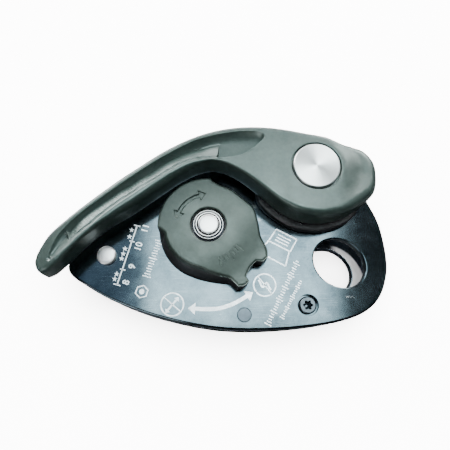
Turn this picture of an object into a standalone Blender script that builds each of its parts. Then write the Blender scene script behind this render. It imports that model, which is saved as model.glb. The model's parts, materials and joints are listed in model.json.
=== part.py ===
"""Assisted-braking rope descender: two side plates, a rope cam, a selector knob and a release handle.

Lengths are in millimetres and are scaled to metres as each mesh is made. The origin is on the cam axle at
the rear plate's outer face. +X points to the attachment hole, +Z out of the front plate.
"""
import math

import bmesh
import bpy
from mathutils import Matrix
from mathutils.geometry import tessellate_polygon

MM = 0.001

# Driving dimensions
PLATE = 3.0           # thickness of each side plate
ROPE_GAP = 13.0       # clear width between the plates, for ropes up to 11 mm
GAP = 0.3             # between faces that rest on each other
RUN = 0.08            # radial running clearance
EDGE = 0.5            # chamfer on the plates' edges
CAM_RADIUS = 13.5
CAM_NOSE = 4.5        # how far the pinching nose stands out of the cam
CAM_TRAVEL = 18.0     # degrees
ROPE_MAX = 11.0
KNOB_HEIGHT = 8.7
KNOB_RADIUS = 16.5    # at its foot all round, and at its top over the full arc
KNOB_TOP_RADIUS = 14.3
BASE_HEIGHT = 3.1     # black mechanism base under the handle
GRIP_TOP = 14.0       # grip's face above the front plate
HUB_TOP = 15.0        # hub's face above the front plate
AXLE_R = 3.5          # cam axle shank
PIVOT_R = 4.0         # handle axle shank

# Places in plan
CAM_AT = (0.0, 0.0)
HANDLE_AT = (35.1, 18.5)
EYE_AT = (44.6, -10.5)
EYE_SEMI = (9.2, 8.0)
EYE_TURN = -35.0
RIVET_AT = (-33.8, -8.7)
PIN_AT = (12.0, -28.0)
SCREW_AT = (33.1, -24.7)
STUD_AT = (30.7, -18.3)

# Levels along the axles
Z_REAR = PLATE
Z_INNER = PLATE + ROPE_GAP
Z_FRONT = Z_INNER + PLATE
Z_KNOB = Z_FRONT + GAP
Z_KNOB_TOP = Z_KNOB + KNOB_HEIGHT
Z_BASE_TOP = Z_FRONT + GAP + BASE_HEIGHT
Z_HANDLE = Z_BASE_TOP + GAP
Z_GRIP_TOP = Z_FRONT + GRIP_TOP
Z_HUB_TOP = Z_FRONT + HUB_TOP
Z_BLOCK = (Z_REAR + GAP, Z_INNER - GAP)
Z_CAM = (Z_REAR + 1.0, Z_INNER - 1.8)
Z_POCKET = Z_CAM[1] - 2.8          # floor of the spring pocket in the cam
Z_DRIVE = (Z_CAM[1] + 0.2, Z_INNER - 0.5)
Z_WELL = Z_KNOB_TOP - 2.6          # floor of the well in the knob
Z_DISC = Z_HUB_TOP - 1.8           # floor of the recess for the handle axle's head
Z_HUB_POCKET = Z_HANDLE + 7.4      # roof of the spring pocket under the hub

DRIVE_PIN_R = 1.25
RELEASE_R = 12.5                   # largest radius of the release cam
HUB_POCKET_R = 10.2                # spring pocket under the hub
AXLES_APART = math.hypot(*HANDLE_AT)
AXLES_ANGLE = math.degrees(math.atan2(HANDLE_AT[1], HANDLE_AT[0]))
DRIVE_PIN_AT = AXLES_APART - RELEASE_R - DRIVE_PIN_R - 0.45
DRIVE_ANGLE = AXLES_ANGLE - CAM_TRAVEL / 2
BASE_SCREW_ANGLES = (258.0, 292.0, 326.0)
BASE_SCREW_RADIUS = 15.6

# Plan outlines, anticlockwise, as the points that a smooth curve runs through
PLATE_OUTLINE = [
    (-46.4, -11.8), (-45.0, -15.2), (-39.6, -18.9), (-31.0, -23.5), (-19.5, -27.7), (-7.1, -30.8),
    (5.0, -32.6), (17.2, -32.9), (30.1, -32.1), (42.2, -30.3), (51.4, -27.2), (57.4, -22.0),
    (60.7, -13.6), (60.9, -4.9), (59.4, 4.4), (55.9, 12.5), (51.8, 21.2), (45.6, 28.2), (37.0, 31.4),
    (27.5, 31.2), (17.0, 29.7), (5.0, 26.6), (-7.0, 22.6), (-18.0, 15.3), (-29.0, 6.2), (-38.5, -2.4),
    (-44.7, -8.0),
]
FRICTION_OUTER = [
    (13.4, -23.4), (15.8, -25.2), (16.4, -28.4), (14.6, -30.9), (4.0, -31.0), (-8.0, -29.0),
    (-20.0, -25.8), (-31.0, -21.4), (-37.4, -17.2), (-39.4, -12.8), (-39.0, -8.4), (-36.6, -5.2),
    (-33.4, -4.4), (-30.4, -5.6), (-26.8, -9.0),
]
SPACER_OUTLINE = [
    (22.5, -30.2), (30.0, -30.1), (38.0, -29.0), (45.0, -27.2), (51.0, -24.4), (54.6, -21.0),
    (51.4, -20.9), (45.5, -21.8), (39.0, -21.2), (33.0, -20.4), (27.0, -22.0), (22.0, -26.0),
]
# Handle: each station is its place in plan at the foot of the wall, then at the rim of the face
HANDLE_STATIONS = [
    ((-52.9, -14.2), (-51.2, -13.2)), ((-50.5, -17.0), (-49.3, -15.0)), ((-46.6, -14.6), (-46.0, -12.0)),
    ((-40.5, -7.9), (-40.2, -6.7)), ((-33.6, -1.4), (-33.4, -0.8)), ((-25.0, 4.4), (-25.0, 4.8)),
    ((-15.5, 11.6), (-15.5, 11.8)), ((-8.0, 17.0), (-8.0, 17.4)), ((0.5, 20.4), (0.5, 20.9)),
    ((8.0, 18.4), (8.0, 18.6)), ((15.4, 13.0), (15.6, 12.4)), ((21.3, 7.8), (22.4, 7.4)),
    ((27.3, 3.7), (28.0, 5.4)), ((35.0, 1.8), (34.6, 4.3)), ((43.0, 2.8), (41.4, 5.6)),
    ((49.8, 6.4), (46.8, 9.0)), ((54.3, 10.4), (49.6, 12.8)), ((55.7, 16.0), (50.6, 17.0)),
    ((55.0, 21.6), (49.7, 21.4)), ((51.2, 25.7), (46.2, 25.0)), ((44.6, 27.2), (41.5, 26.4)),
    ((39.1, 29.4), (37.9, 28.2)), ((32.9, 30.5), (32.5, 29.1)), ((25.6, 31.9), (25.2, 30.4)),
    ((17.5, 32.9), (17.4, 31.3)), ((9.3, 33.0), (9.7, 31.4)), ((1.4, 31.5), (2.3, 29.9)),
    ((-6.5, 28.5), (-5.6, 27.0)), ((-14.3, 24.2), (-13.3, 22.8)), ((-21.9, 18.9), (-20.8, 17.6)),
    ((-29.6, 12.9), (-28.5, 11.7)), ((-36.7, 6.9), (-35.6, 5.8)), ((-44.0, 0.3), (-42.9, -0.6)),
    ((-49.2, -4.7), (-47.9, -5.2)), ((-52.1, -9.6), (-50.5, -9.5)), ((-52.9, -12.0), (-51.0, -11.8)),
]
# Black base: radius about the handle axle, by angle
BASE_POLAR = [(10, 15.0), (45, 14.0), (90, 13.9), (135, 14.0), (160, 15.4), (184, 18.4), (204, 20.0),
              (225, 19.1), (250, 18.6), (275, 18.8), (300, 19.4), (318, 19.8), (336, 19.2), (352, 17.4)]
# Flared side of the knob, from its cut-away arc round the forked pointer to the full arc: angle, radius at
# the top, radius at the foot
KNOB_POINTER = [
    (-100, 14.4, 16.7), (-88, 15.4, 17.3), (-76, 16.9, 18.4), (-68, 18.6, 19.6), (-65.5, 20.4, 21.0),
    (-64, 22.0, 22.2), (-59, 22.7, 22.7), (-54, 22.4, 22.4), (-53.5, 20.6, 20.6), (-46, 19.3, 19.3),
    (-37, 19.3, 19.3), (-33.5, 21.2, 21.2), (-28, 21.8, 22.0), (-23, 20.8, 21.2), (-11, 17.4, 18.0),
    (6, 16.3, 17.0), (22, 16.0, 16.6), (36, 14.8, 16.5), (60, 14.4, 16.5), (80, 14.8, 16.5),
]

# Looks: base colour, metallic, roughness
LOOKS = {
    "anodised_plate": ((0.055, 0.065, 0.08), 0.9, 0.38),
    "moulded_green": ((0.23, 0.29, 0.265), 0.0, 0.5),
    "moulded_black": ((0.03, 0.03, 0.032), 0.0, 0.55),
    "stainless": ((0.62, 0.62, 0.61), 1.0, 0.28),
    "turned_steel": ((0.7, 0.7, 0.69), 1.0, 0.22),
    "spring_steel": ((0.42, 0.42, 0.43), 1.0, 0.35),
    "bronze": ((0.55, 0.36, 0.18), 1.0, 0.4),
    "thrust_plastic": ((0.75, 0.74, 0.7), 0.0, 0.5),
    "spacer_alloy": ((0.5, 0.51, 0.53), 0.9, 0.4),
}


def look_material(look):
    """The material for a look, made once and shared."""
    if look in bpy.data.materials:
        return bpy.data.materials[look]
    colour, metallic, roughness = LOOKS[look]
    material = bpy.data.materials.new(look)
    material.use_nodes = True
    shader = material.node_tree.nodes["Principled BSDF"]
    shader.inputs["Base Color"].default_value = (*colour, 1.0)
    shader.inputs["Metallic"].default_value = metallic
    shader.inputs["Roughness"].default_value = roughness
    return material


def add_piece(name, bm, look, pivot=CAM_AT):
    """Turn a bmesh in millimetres into a named object whose origin stands on its pivot."""
    bmesh.ops.recalc_face_normals(bm, faces=bm.faces)
    to_metres = Matrix.Scale(MM, 4) @ Matrix.Translation((-pivot[0], -pivot[1], 0.0))
    bmesh.ops.transform(bm, matrix=to_metres, verts=bm.verts)
    mesh = bpy.data.meshes.new(name)
    bm.to_mesh(mesh)
    bm.free()
    mesh.materials.append(look_material(look))
    mesh.shade_smooth()
    mesh.set_sharp_from_angle(angle=math.radians(30))
    piece = bpy.data.objects.new(name, mesh)
    piece.location = (pivot[0] * MM, pivot[1] * MM, 0.0)
    bpy.context.collection.objects.link(piece)


# Plan curves

def polar(centre, radius, degrees):
    """A point at a radius and an angle about a centre."""
    turn = math.radians(degrees)
    return centre[0] + radius * math.cos(turn), centre[1] + radius * math.sin(turn)


def arc(centre, radius, start, end, count):
    """Points along an arc, both ends included."""
    step = (end - start) / (count - 1)
    return [polar(centre, radius, start + step * i) for i in range(count)]


def circle(centre, radius, count=24):
    """Points round a circle."""
    return [polar(centre, radius, 360.0 * i / count) for i in range(count)]


def oval(centre, semi, turn, count, grow=0.0):
    """Points round an ellipse whose long axis is turned, grown outward by an amount."""
    points = []
    for x, y in circle((0.0, 0.0), 1.0, count):
        points.append(((semi[0] + grow) * x, (semi[1] + grow) * y))
    c, s = math.cos(math.radians(turn)), math.sin(math.radians(turn))
    return [(centre[0] + c * x - s * y, centre[1] + s * x + c * y) for x, y in points]


def smooth_span(p0, p1, p2, p3, t):
    """One point of a Catmull-Rom curve between p1 and p2."""
    point = []
    for a, b, c, d in zip(p0, p1, p2, p3):
        point.append(0.5 * (2 * b + (c - a) * t + (2 * a - 5 * b + 4 * c - d) * t**2
                            + (3 * b - a - 3 * c + d) * t**3))
    return tuple(point)


def smooth_loop(points, per_span):
    """A closed smooth curve through the points."""
    count = len(points)
    loop = []
    for i in range(count):
        around = [points[(i + k) % count] for k in (-1, 0, 1, 2)]
        loop += [smooth_span(*around, step / per_span) for step in range(per_span)]
    return loop


def inset(points, distance):
    """An anticlockwise loop moved inward by a distance."""
    moved = []
    for i, (x, y) in enumerate(points):
        ahead, behind = points[(i + 1) % len(points)], points[i - 1]
        dx, dy = ahead[0] - behind[0], ahead[1] - behind[1]
        size = math.hypot(dx, dy)
        moved.append((x - dy / size * distance, y + dx / size * distance))
    return moved


def arc_slot(centre, radius, start, end, half_width, steps=6):
    """A slot along an arc, with round ends."""
    outer = arc(centre, radius + half_width, start, end, steps)
    far_cap = arc(polar(centre, radius, end), half_width, end, end + 180.0, 6)[1:-1]
    inner = arc(centre, radius - half_width, end, start, steps)
    near_cap = arc(polar(centre, radius, start), half_width, start + 180.0, start + 360.0, 6)[1:-1]
    return outer + far_cap + inner + near_cap


# Solids

def level(points, z):
    """A plan loop at a height."""
    return [(x, y, z) for x, y in points]


def add_loops(bm, loops):
    """Join loops of equal length into one wall, and return their vertices."""
    rings = [[bm.verts.new(point) for point in loop] for loop in loops]
    for lower, upper in zip(rings, rings[1:]):
        for i in range(len(lower)):
            bm.faces.new((lower[i - 1], lower[i], upper[i], upper[i - 1]))
    return rings


def add_cap(bm, rings):
    """Fill the first ring, leaving the others as holes."""
    corners = [vert for ring in rings for vert in ring]
    for triangle in tessellate_polygon([[vert.co for vert in ring] for ring in rings]):
        bm.faces.new([corners[i] for i in triangle])


def stack(outer, through=(), from_below=(), from_above=()):
    """A solid of stacked loops, with holes through it and pockets into its lower and upper faces."""
    bm = bmesh.new()
    wall = add_loops(bm, outer)
    bores = [add_loops(bm, loops) for loops in through]
    lower = [add_loops(bm, loops) for loops in from_below]
    upper = [add_loops(bm, loops) for loops in from_above]
    add_cap(bm, [wall[0]] + [rings[0] for rings in bores + lower])
    add_cap(bm, [wall[-1]] + [rings[-1] for rings in bores + upper])
    for rings in lower:
        add_cap(bm, [rings[-1]])
    for rings in upper:
        add_cap(bm, [rings[0]])
    return bm


def turned(centre, profile, count=24, closed=False):
    """A solid turned about a vertical axis from (radius, z) points; a closed profile makes a ring."""
    bm = bmesh.new()
    rings = []
    for radius, z in profile:
        if radius == 0.0:
            rings.append([bm.verts.new((*centre, z))] * count)
        else:
            rings.append([bm.verts.new(point) for point in level(circle(centre, radius, count), z)])
    pairs = list(zip(rings, rings[1:]))
    if closed:
        pairs.append((rings[-1], rings[0]))
    for lower, upper in pairs:
        for i in range(count):
            corners = list(dict.fromkeys((lower[i - 1], lower[i], upper[i], upper[i - 1])))
            bm.faces.new(corners)
    return bm


def ring(centre, inner, outer, z0, z1, count=24):
    """A plain washer or tube."""
    return turned(centre, [(inner, z0), (outer, z0), (outer, z1), (inner, z1)], count, closed=True)


def coil(centre, radius, wire, z0, turns, pitch, per_turn=18, sides=6):
    """A helical spring of round wire, standing on z0."""
    bm = bmesh.new()
    rings = []
    steps = round(turns * per_turn)
    for i in range(steps + 1):
        turn = math.tau * i / per_turn
        z = z0 + wire + pitch * i / per_turn
        section = []
        for side in range(sides):
            lean = math.tau * side / sides
            reach = radius + wire * math.cos(lean)
            x = centre[0] + reach * math.cos(turn)
            y = centre[1] + reach * math.sin(turn)
            section.append(bm.verts.new((x, y, z + wire * math.sin(lean))))
        rings.append(section)
    for lower, upper in zip(rings, rings[1:]):
        for i in range(sides):
            bm.faces.new((lower[i - 1], lower[i], upper[i], upper[i - 1]))
    bm.faces.new(rings[0])
    bm.faces.new(rings[-1])
    return bm


# Side plates

def plate_loops(z0, z1, margin):
    """The side plate's outline with chamfered edges."""
    outline = inset(smooth_loop(PLATE_OUTLINE, 3), margin)
    narrow = inset(outline, EDGE)
    return [level(narrow, z0), level(outline, z0 + EDGE), level(outline, z1 - EDGE), level(narrow, z1)]


def eye_loops(z0, z1):
    """The attachment hole with its rounded mouth on both faces."""
    wide = oval(EYE_AT, EYE_SEMI, EYE_TURN, 40, grow=EDGE)
    clear = oval(EYE_AT, EYE_SEMI, EYE_TURN, 40)
    return [level(wide, z0), level(clear, z0 + EDGE), level(clear, z1 - EDGE), level(wide, z1)]


def bore(centre, radius, z0, z1, count=24):
    """A straight hole."""
    hole = circle(centre, radius, count)
    return [level(hole, z0), level(hole, z1)]


def front_plate():
    """Fixed side plate that carries the mechanism."""
    z0, z1 = Z_INNER, Z_FRONT
    screw_step = z1 - 2.0
    screw_hole = [level(circle(SCREW_AT, 2.0), z0), level(circle(SCREW_AT, 2.0), screw_step),
                  level(circle(SCREW_AT, 3.45), screw_step), level(circle(SCREW_AT, 3.45), z1)]
    drive_slot = arc_slot(CAM_AT, DRIVE_PIN_AT, DRIVE_ANGLE - 0.7, DRIVE_ANGLE + CAM_TRAVEL + 0.7,
                          DRIVE_PIN_R + GAP)
    holes = [eye_loops(z0, z1), bore(CAM_AT, 5.5, z0, z1, 32), bore(HANDLE_AT, PIVOT_R + RUN, z0, z1),
             bore(RIVET_AT, 2.1, z0, z1), bore(PIN_AT, 2.35, z0, z1), screw_hole,
             [level(drive_slot, z0), level(drive_slot, z1)]]
    for angle in BASE_SCREW_ANGLES:
        holes.append(bore(polar(HANDLE_AT, BASE_SCREW_RADIUS, angle), 1.3, z0, z1, 16))
    add_piece("front_plate", stack(plate_loops(z0, z1, 0.0), holes), "anodised_plate")


def rear_plate():
    """Side plate that swings open about the cam axle, and the stud that stops it when closed."""
    head_depth = 1.6
    pivot = [level(circle(CAM_AT, 5.4), 0.0), level(circle(CAM_AT, 5.4), head_depth),
             level(circle(CAM_AT, AXLE_R + RUN), head_depth), level(circle(CAM_AT, AXLE_R + RUN), PLATE)]
    holes = [eye_loops(0.0, PLATE), pivot, bore(STUD_AT, 1.3, 0.0, PLATE, 16)]
    add_piece("rear_plate", stack(plate_loops(0.0, PLATE, 0.3), holes), "anodised_plate")
    stud = [(0.0, 0.2), (1.2, 0.2), (1.2, Z_REAR + 0.1), (1.7, Z_REAR + 0.1), (1.7, Z_REAR + 3.4),
            (1.3, Z_REAR + 3.8), (0.0, Z_REAR + 3.8)]
    add_piece("plate_stop_stud", turned(STUD_AT, stud, 16), "stainless")


# Between the plates

def friction_plate():
    """Curved block that the cam pinches the rope against, with its rivet and its flush pin."""
    face = arc(CAM_AT, CAM_RADIUS + ROPE_MAX + 1.2, 214.0, 293.0, 12)
    outline = face + FRICTION_OUTER
    z0, z1 = Z_BLOCK
    narrow = inset(outline[::-1], 0.4)[::-1]
    loops = [level(narrow, z0), level(outline, z0 + 0.4), level(outline, z1 - 0.4), level(narrow, z1)]
    holes = [bore(RIVET_AT, 2.1, z0, z1), bore(PIN_AT, 2.35, z0, z1)]
    add_piece("friction_plate", stack(loops, holes), "stainless")
    rivet = [(0.0, z0 + 0.3), (2.0, z0 + 0.3), (2.0, Z_FRONT + 0.1), (3.15, Z_FRONT + 0.1),
             (3.2, Z_FRONT + 0.5), (2.9, Z_FRONT + 1.1), (1.9, Z_FRONT + 1.6), (0.0, Z_FRONT + 1.8)]
    add_piece("guide_rivet", turned(RIVET_AT, rivet), "stainless")
    pin = [(0.0, z0 + 0.3), (2.25, z0 + 0.3), (2.25, Z_FRONT), (0.0, Z_FRONT)]
    add_piece("friction_pin", turned(PIN_AT, pin), "spring_steel")


def spacer():
    """Block that keeps the plates apart beside the attachment hole, and its six-lobe screw."""
    z0, z1 = Z_BLOCK
    outline = smooth_loop(SPACER_OUTLINE, 2)
    narrow = inset(outline, 0.4)
    loops = [level(narrow, z0), level(outline, z0 + 0.4), level(outline, z1 - 0.4), level(narrow, z1)]
    add_piece("spacer_block", stack(loops, from_above=[bore(SCREW_AT, 2.0, z0 + 3.0, z1)]), "spacer_alloy")
    seat = Z_FRONT - 1.9
    top = Z_FRONT - 0.2
    lobes = [polar(SCREW_AT, 1.35 + 0.3 * math.cos(math.tau * i / 4), 15.0 * i) for i in range(24)]
    shank, head = circle(SCREW_AT, 1.9), circle(SCREW_AT, 2.95)
    loops = [level(shank, z0 + 4.0), level(shank, seat), level(head, seat), level(head, top - 0.3),
             level(circle(SCREW_AT, 2.65), top)]
    screw = stack(loops, from_above=[[level(lobes, top - 1.1), level(lobes, top)]])
    add_piece("spacer_screw", screw, "stainless")


def cam_axle():
    """Fixed axle of the cam, the knob and the rear plate, and the washers on it."""
    neck = Z_WELL + 0.8
    top = Z_KNOB_TOP + 0.4
    profile = [(0.0, 0.0), (5.2, 0.0), (5.2, 1.3), (AXLE_R, 1.3), (AXLE_R, neck), (4.5, neck),
               (4.5, top - 0.6), (4.2, top - 0.3), (3.6, top - 0.3), (3.3, top - 0.1), (2.6, top + 0.3),
               (0.0, top + 0.5)]
    add_piece("cam_axle", turned(CAM_AT, profile, 32), "turned_steel")
    inner = AXLE_R + RUN
    add_piece("knob_washer", ring(CAM_AT, inner, 5.3, Z_WELL + 0.1, neck - 0.1), "spring_steel")
    add_piece("rear_thrust_washer", ring(CAM_AT, inner, 8.0, Z_REAR + 0.2, Z_CAM[0] - 0.2), "thrust_plastic")
    add_piece("front_thrust_washer", ring(CAM_AT, 5.7, 8.6, Z_DRIVE[1] + 0.1, Z_INNER - 0.1),
              "thrust_plastic")


def cam_loop(depth):
    """The cam's outline: round, with a nose at the lower left, cut in by a depth for the rope groove."""
    points = []
    for i in range(48):
        angle = 7.5 * i
        facing = max(0.0, math.cos(math.radians(angle - 212.0)))
        points.append(polar(CAM_AT, CAM_RADIUS + CAM_NOSE * facing**6 - depth, angle))
    return points


def cam():
    """Rope cam with a hollow groove, its bush, its spring, and the plate and pin that drive it."""
    z0, z1 = Z_CAM
    groove = [(0.0, 0.5), (0.03, 0.0), (0.14, 0.0), (0.3, 1.3), (0.5, 1.9), (0.7, 1.3), (0.86, 0.0),
              (0.97, 0.0), (1.0, 0.5)]
    loops = [level(cam_loop(depth), z0 + (z1 - z0) * part) for part, depth in groove]
    pocket = [level(circle(CAM_AT, 5.05), z0), level(circle(CAM_AT, 5.05), Z_POCKET),
              level(circle(CAM_AT, 9.2), Z_POCKET), level(circle(CAM_AT, 9.2), z1)]
    add_piece("cam", stack(loops, [pocket]), "stainless")
    add_piece("cam_bush", ring(CAM_AT, AXLE_R + RUN, 5.0, z0 + 0.1, Z_POCKET - 0.1), "bronze")
    spring = coil(CAM_AT, 7.3, 0.5, Z_POCKET + 0.15, 1.6, 1.1)
    add_piece("cam_spring", spring, "spring_steel")

    pin_at = polar(CAM_AT, DRIVE_PIN_AT, DRIVE_ANGLE)
    half = 17.0
    disc = arc(CAM_AT, 9.0, DRIVE_ANGLE + half, DRIVE_ANGLE + 360.0 - half, 24)
    tip = arc(pin_at, 2.6, DRIVE_ANGLE - 90.0, DRIVE_ANGLE + 90.0, 8)
    outline = disc + tip
    d0, d1 = Z_DRIVE
    holes = [bore(CAM_AT, 5.7, d0, d1), bore(pin_at, DRIVE_PIN_R + 0.03, d0, d1, 16)]
    plate = stack([level(outline, d0), level(outline, d1)], holes)
    add_piece("cam_drive_plate", plate, "stainless")
    p0, p1 = d0 + 0.05, Z_BASE_TOP - 0.7
    pin = [(0.0, p0), (DRIVE_PIN_R, p0), (DRIVE_PIN_R, p1), (0.0, p1)]
    add_piece("cam_drive_pin", turned(pin_at, pin, 16), "spring_steel")


# Selector

def knob_outline(at_foot):
    """The knob in plan: a full arc, a cut-away arc, and a flare that ends in a forked pointer."""
    full = arc(CAM_AT, KNOB_RADIUS, 89.0, 183.0, 14)
    cut_away = arc(CAM_AT, KNOB_RADIUS if at_foot else KNOB_TOP_RADIUS, 192.0, 252.0, 9)
    flare = [polar(CAM_AT, foot if at_foot else top, angle) for angle, top, foot in KNOB_POINTER]
    return full + cut_away + flare


def selector():
    """Mode knob with its sleeve through the plate, and its detent."""
    foot, top = knob_outline(True), knob_outline(False)
    z0, z1 = Z_KNOB, Z_KNOB_TOP
    loops = [level(foot, z0), level(foot, z0 + 0.8), level(top, z1 - 0.5), level(inset(top, 0.45), z1)]
    well = [level(circle(CAM_AT, 5.5, 32), z0), level(circle(CAM_AT, 5.5, 32), Z_WELL),
            level(circle(CAM_AT, 5.8, 32), Z_WELL), level(circle(CAM_AT, 5.8, 32), z1)]
    detent_at = polar(CAM_AT, 10.8, -45.0)
    knob = stack(loops, [well], from_below=[bore(detent_at, 1.6, z0, z0 + 5.2, 16)])
    add_piece("selector_knob", knob, "moulded_green")
    sleeve = ring(CAM_AT, AXLE_R + RUN, 5.4, Z_POCKET + 0.2, Z_WELL - 0.1, 32)
    add_piece("selector_sleeve", sleeve, "stainless")
    ball_z = Z_FRONT + 0.15 + 1.4
    ball = [(1.4 * math.cos(math.radians(a)), ball_z + 1.4 * math.sin(math.radians(a)))
            for a in range(-60, 61, 30)]
    profile = [(0.0, ball_z - 1.4)] + ball + [(0.0, ball_z + 1.4)]
    add_piece("detent_ball", turned(detent_at, profile, 12), "turned_steel")
    add_piece("detent_spring", coil(detent_at, 1.1, 0.22, ball_z + 1.5, 2.0, 0.65, 12, 5), "spring_steel")


# Handle

def rim_height(x):
    """Height of the handle's face along its length: a drooping tip, a level grip and a raised hub."""
    droop = min(1.0, max(0.0, (-38.0 - x) / 16.0))
    rise = min(1.0, max(0.0, (x - 8.0) / 14.0))
    lobe = min(1.0, max(0.0, (x - 44.0) / 6.0))
    return Z_GRIP_TOP - 2.6 * droop**2 + (HUB_TOP - GRIP_TOP) * rise - 2.0 * lobe


def handle():
    """Release lever with its hub, bush and return spring."""
    foot = smooth_loop([station[0] for station in HANDLE_STATIONS], 2)
    rim = smooth_loop([station[1] for station in HANDLE_STATIONS], 2)
    face = [(x, y, rim_height(x)) for x, y in rim]
    shoulder = []
    for (x, y), (rx, ry, rz) in zip(foot, face):
        shoulder.append((0.45 * x + 0.55 * rx, 0.45 * y + 0.55 * ry, rz - 1.2))
    loops = [level(inset(foot, 0.6), Z_HANDLE), level(foot, Z_HANDLE + 0.8), level(foot, Z_HANDLE + 5.6),
             shoulder, face]
    wide = circle(HANDLE_AT, HUB_POCKET_R, 32)
    neck = circle(HANDLE_AT, 5.35, 32)
    recess = circle(HANDLE_AT, 8.2, 32)
    hub = [level(wide, Z_HANDLE), level(wide, Z_HUB_POCKET), level(neck, Z_HUB_POCKET),
           level(neck, Z_DISC), level(recess, Z_DISC), level(recess, Z_HUB_TOP)]
    add_piece("handle", stack(loops, [hub]), "moulded_green", HANDLE_AT)
    bush = ring(HANDLE_AT, PIVOT_R + RUN, 5.25, Z_HANDLE + 0.3, Z_DISC - 0.1)
    add_piece("handle_bush", bush, "bronze", HANDLE_AT)
    spring = coil(HANDLE_AT, 8.4, 0.6, Z_HANDLE + 3.1, 2.4, 1.25)
    add_piece("handle_spring", spring, "spring_steel", HANDLE_AT)


def overload_clutch():
    """Toothed clutch plate that slips when the handle is pulled too hard, its wave spring, and the
    release cam that turns the rope cam back."""
    z0 = Z_HANDLE + 0.2
    teeth = [polar(HANDLE_AT, HUB_POCKET_R - (0.4 if i % 4 < 2 else 1.1), 7.5 * i) for i in range(48)]
    loops = [level(teeth, z0), level(teeth, z0 + 1.2)]
    plate = stack(loops, [bore(HANDLE_AT, 5.45, z0, z0 + 1.2)])
    add_piece("clutch_plate", plate, "stainless", HANDLE_AT)

    bm = bmesh.new()
    rings = []
    for radius, rise in ((6.0, 0.0), (9.3, 0.0), (9.3, 0.5), (6.0, 0.5)):
        loop = circle(HANDLE_AT, radius, 36)
        wave = [0.35 * math.cos(math.tau * 3 * i / 36) for i in range(36)]
        rings.append([bm.verts.new((x, y, z0 + 1.85 + w + rise)) for (x, y), w in zip(loop, wave)])
    for lower, upper in zip(rings, rings[1:] + rings[:1]):
        for i in range(36):
            bm.faces.new((lower[i - 1], lower[i], upper[i], upper[i - 1]))
    add_piece("clutch_spring", bm, "spring_steel", HANDLE_AT)

    outline = []
    for i in range(32):
        angle = 11.25 * i
        facing = max(0.0, math.cos(math.radians(angle - 300.0)))
        outline.append(polar(HANDLE_AT, 9.0 + (RELEASE_R - 9.0) * facing**4, angle))
    r0, r1 = Z_FRONT + GAP, Z_BASE_TOP - 0.2
    lobe = stack([level(outline, r0), level(outline, r1)], [bore(HANDLE_AT, PIVOT_R + RUN, r0, r1)])
    add_piece("release_cam", lobe, "stainless", HANDLE_AT)


def handle_base():
    """Black base of the handle mechanism, and the screws that hold it from inside."""
    z0, z1 = Z_FRONT + 0.1, Z_BASE_TOP
    outline = smooth_loop([polar(HANDLE_AT, radius, angle) for angle, radius in BASE_POLAR], 3)
    narrow = inset(outline, 0.5)
    pocket = arc(HANDLE_AT, RELEASE_R + 0.4, 238.0, 537.0, 30) + arc(HANDLE_AT, 17.0, 184.0, 231.0, 8)
    loops = [level(outline, z0), level(outline, z1 - 0.5), level(narrow, z1)]
    holes = [[level(pocket, z0), level(pocket, z1)]]
    spots = [polar(HANDLE_AT, BASE_SCREW_RADIUS, angle) for angle in BASE_SCREW_ANGLES]
    holes += [bore(spot, 1.3, z0, z1, 16) for spot in spots]
    add_piece("handle_base", stack(loops, holes), "moulded_black")
    for number, spot in enumerate(spots, 1):
        profile = [(0.0, Z_INNER - 1.5), (2.0, Z_INNER - 1.5), (2.2, Z_INNER - 1.2), (2.2, Z_INNER - 0.1),
                   (1.2, Z_INNER - 0.1), (1.2, z1 - 0.4), (0.0, z1 - 0.4)]
        add_piece(f"base_screw_{number}", turned(spot, profile, 16), "stainless")


def handle_axle():
    """Handle axle with its wide turned head, and what holds it under the front plate."""
    low = Z_INNER - 3.1
    groove = (Z_INNER - 2.1, Z_INNER - 1.3)
    z_head = Z_DISC + 0.7
    top = Z_HUB_TOP + 0.4
    profile = [(0.0, low), (PIVOT_R - 0.5, low), (PIVOT_R, low + 0.5), (PIVOT_R, groove[0]),
               (PIVOT_R - 0.6, groove[0]), (PIVOT_R - 0.6, groove[1]), (PIVOT_R, groove[1]),
               (PIVOT_R, z_head), (7.7, z_head), (7.7, top - 0.4), (7.3, top), (0.0, top)]
    add_piece("handle_axle", turned(HANDLE_AT, profile, 32), "turned_steel")
    inner = PIVOT_R + RUN
    add_piece("head_washer", ring(HANDLE_AT, inner, 7.2, Z_DISC + 0.1, z_head - 0.1), "thrust_plastic")
    washer = ring(HANDLE_AT, inner, 6.6, groove[1] + 0.1, Z_INNER - 0.15)
    add_piece("axle_washer", washer, "stainless")
    clip = arc(HANDLE_AT, 5.6, 30.0, 330.0, 20) + arc(HANDLE_AT, PIVOT_R - 0.5, 330.0, 30.0, 20)
    loops = [level(clip, groove[0] + 0.08), level(clip, groove[1] - 0.02)]
    add_piece("axle_circlip", stack(loops), "spring_steel")


def build():
    """Make every piece of the descender."""
    for old in list(bpy.data.objects):
        bpy.data.objects.remove(old)
    front_plate()
    rear_plate()
    friction_plate()
    spacer()
    cam_axle()
    cam()
    selector()
    handle()
    overload_clutch()
    handle_base()
    handle_axle()


build()
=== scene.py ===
import json
from math import atan2, cos, pi, radians, sin, tau

import bmesh
import bpy
import numpy as np
from numpy.linalg import norm
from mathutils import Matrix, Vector
from mathutils.geometry import delaunay_2d_cdt, tessellate_polygon

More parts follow.
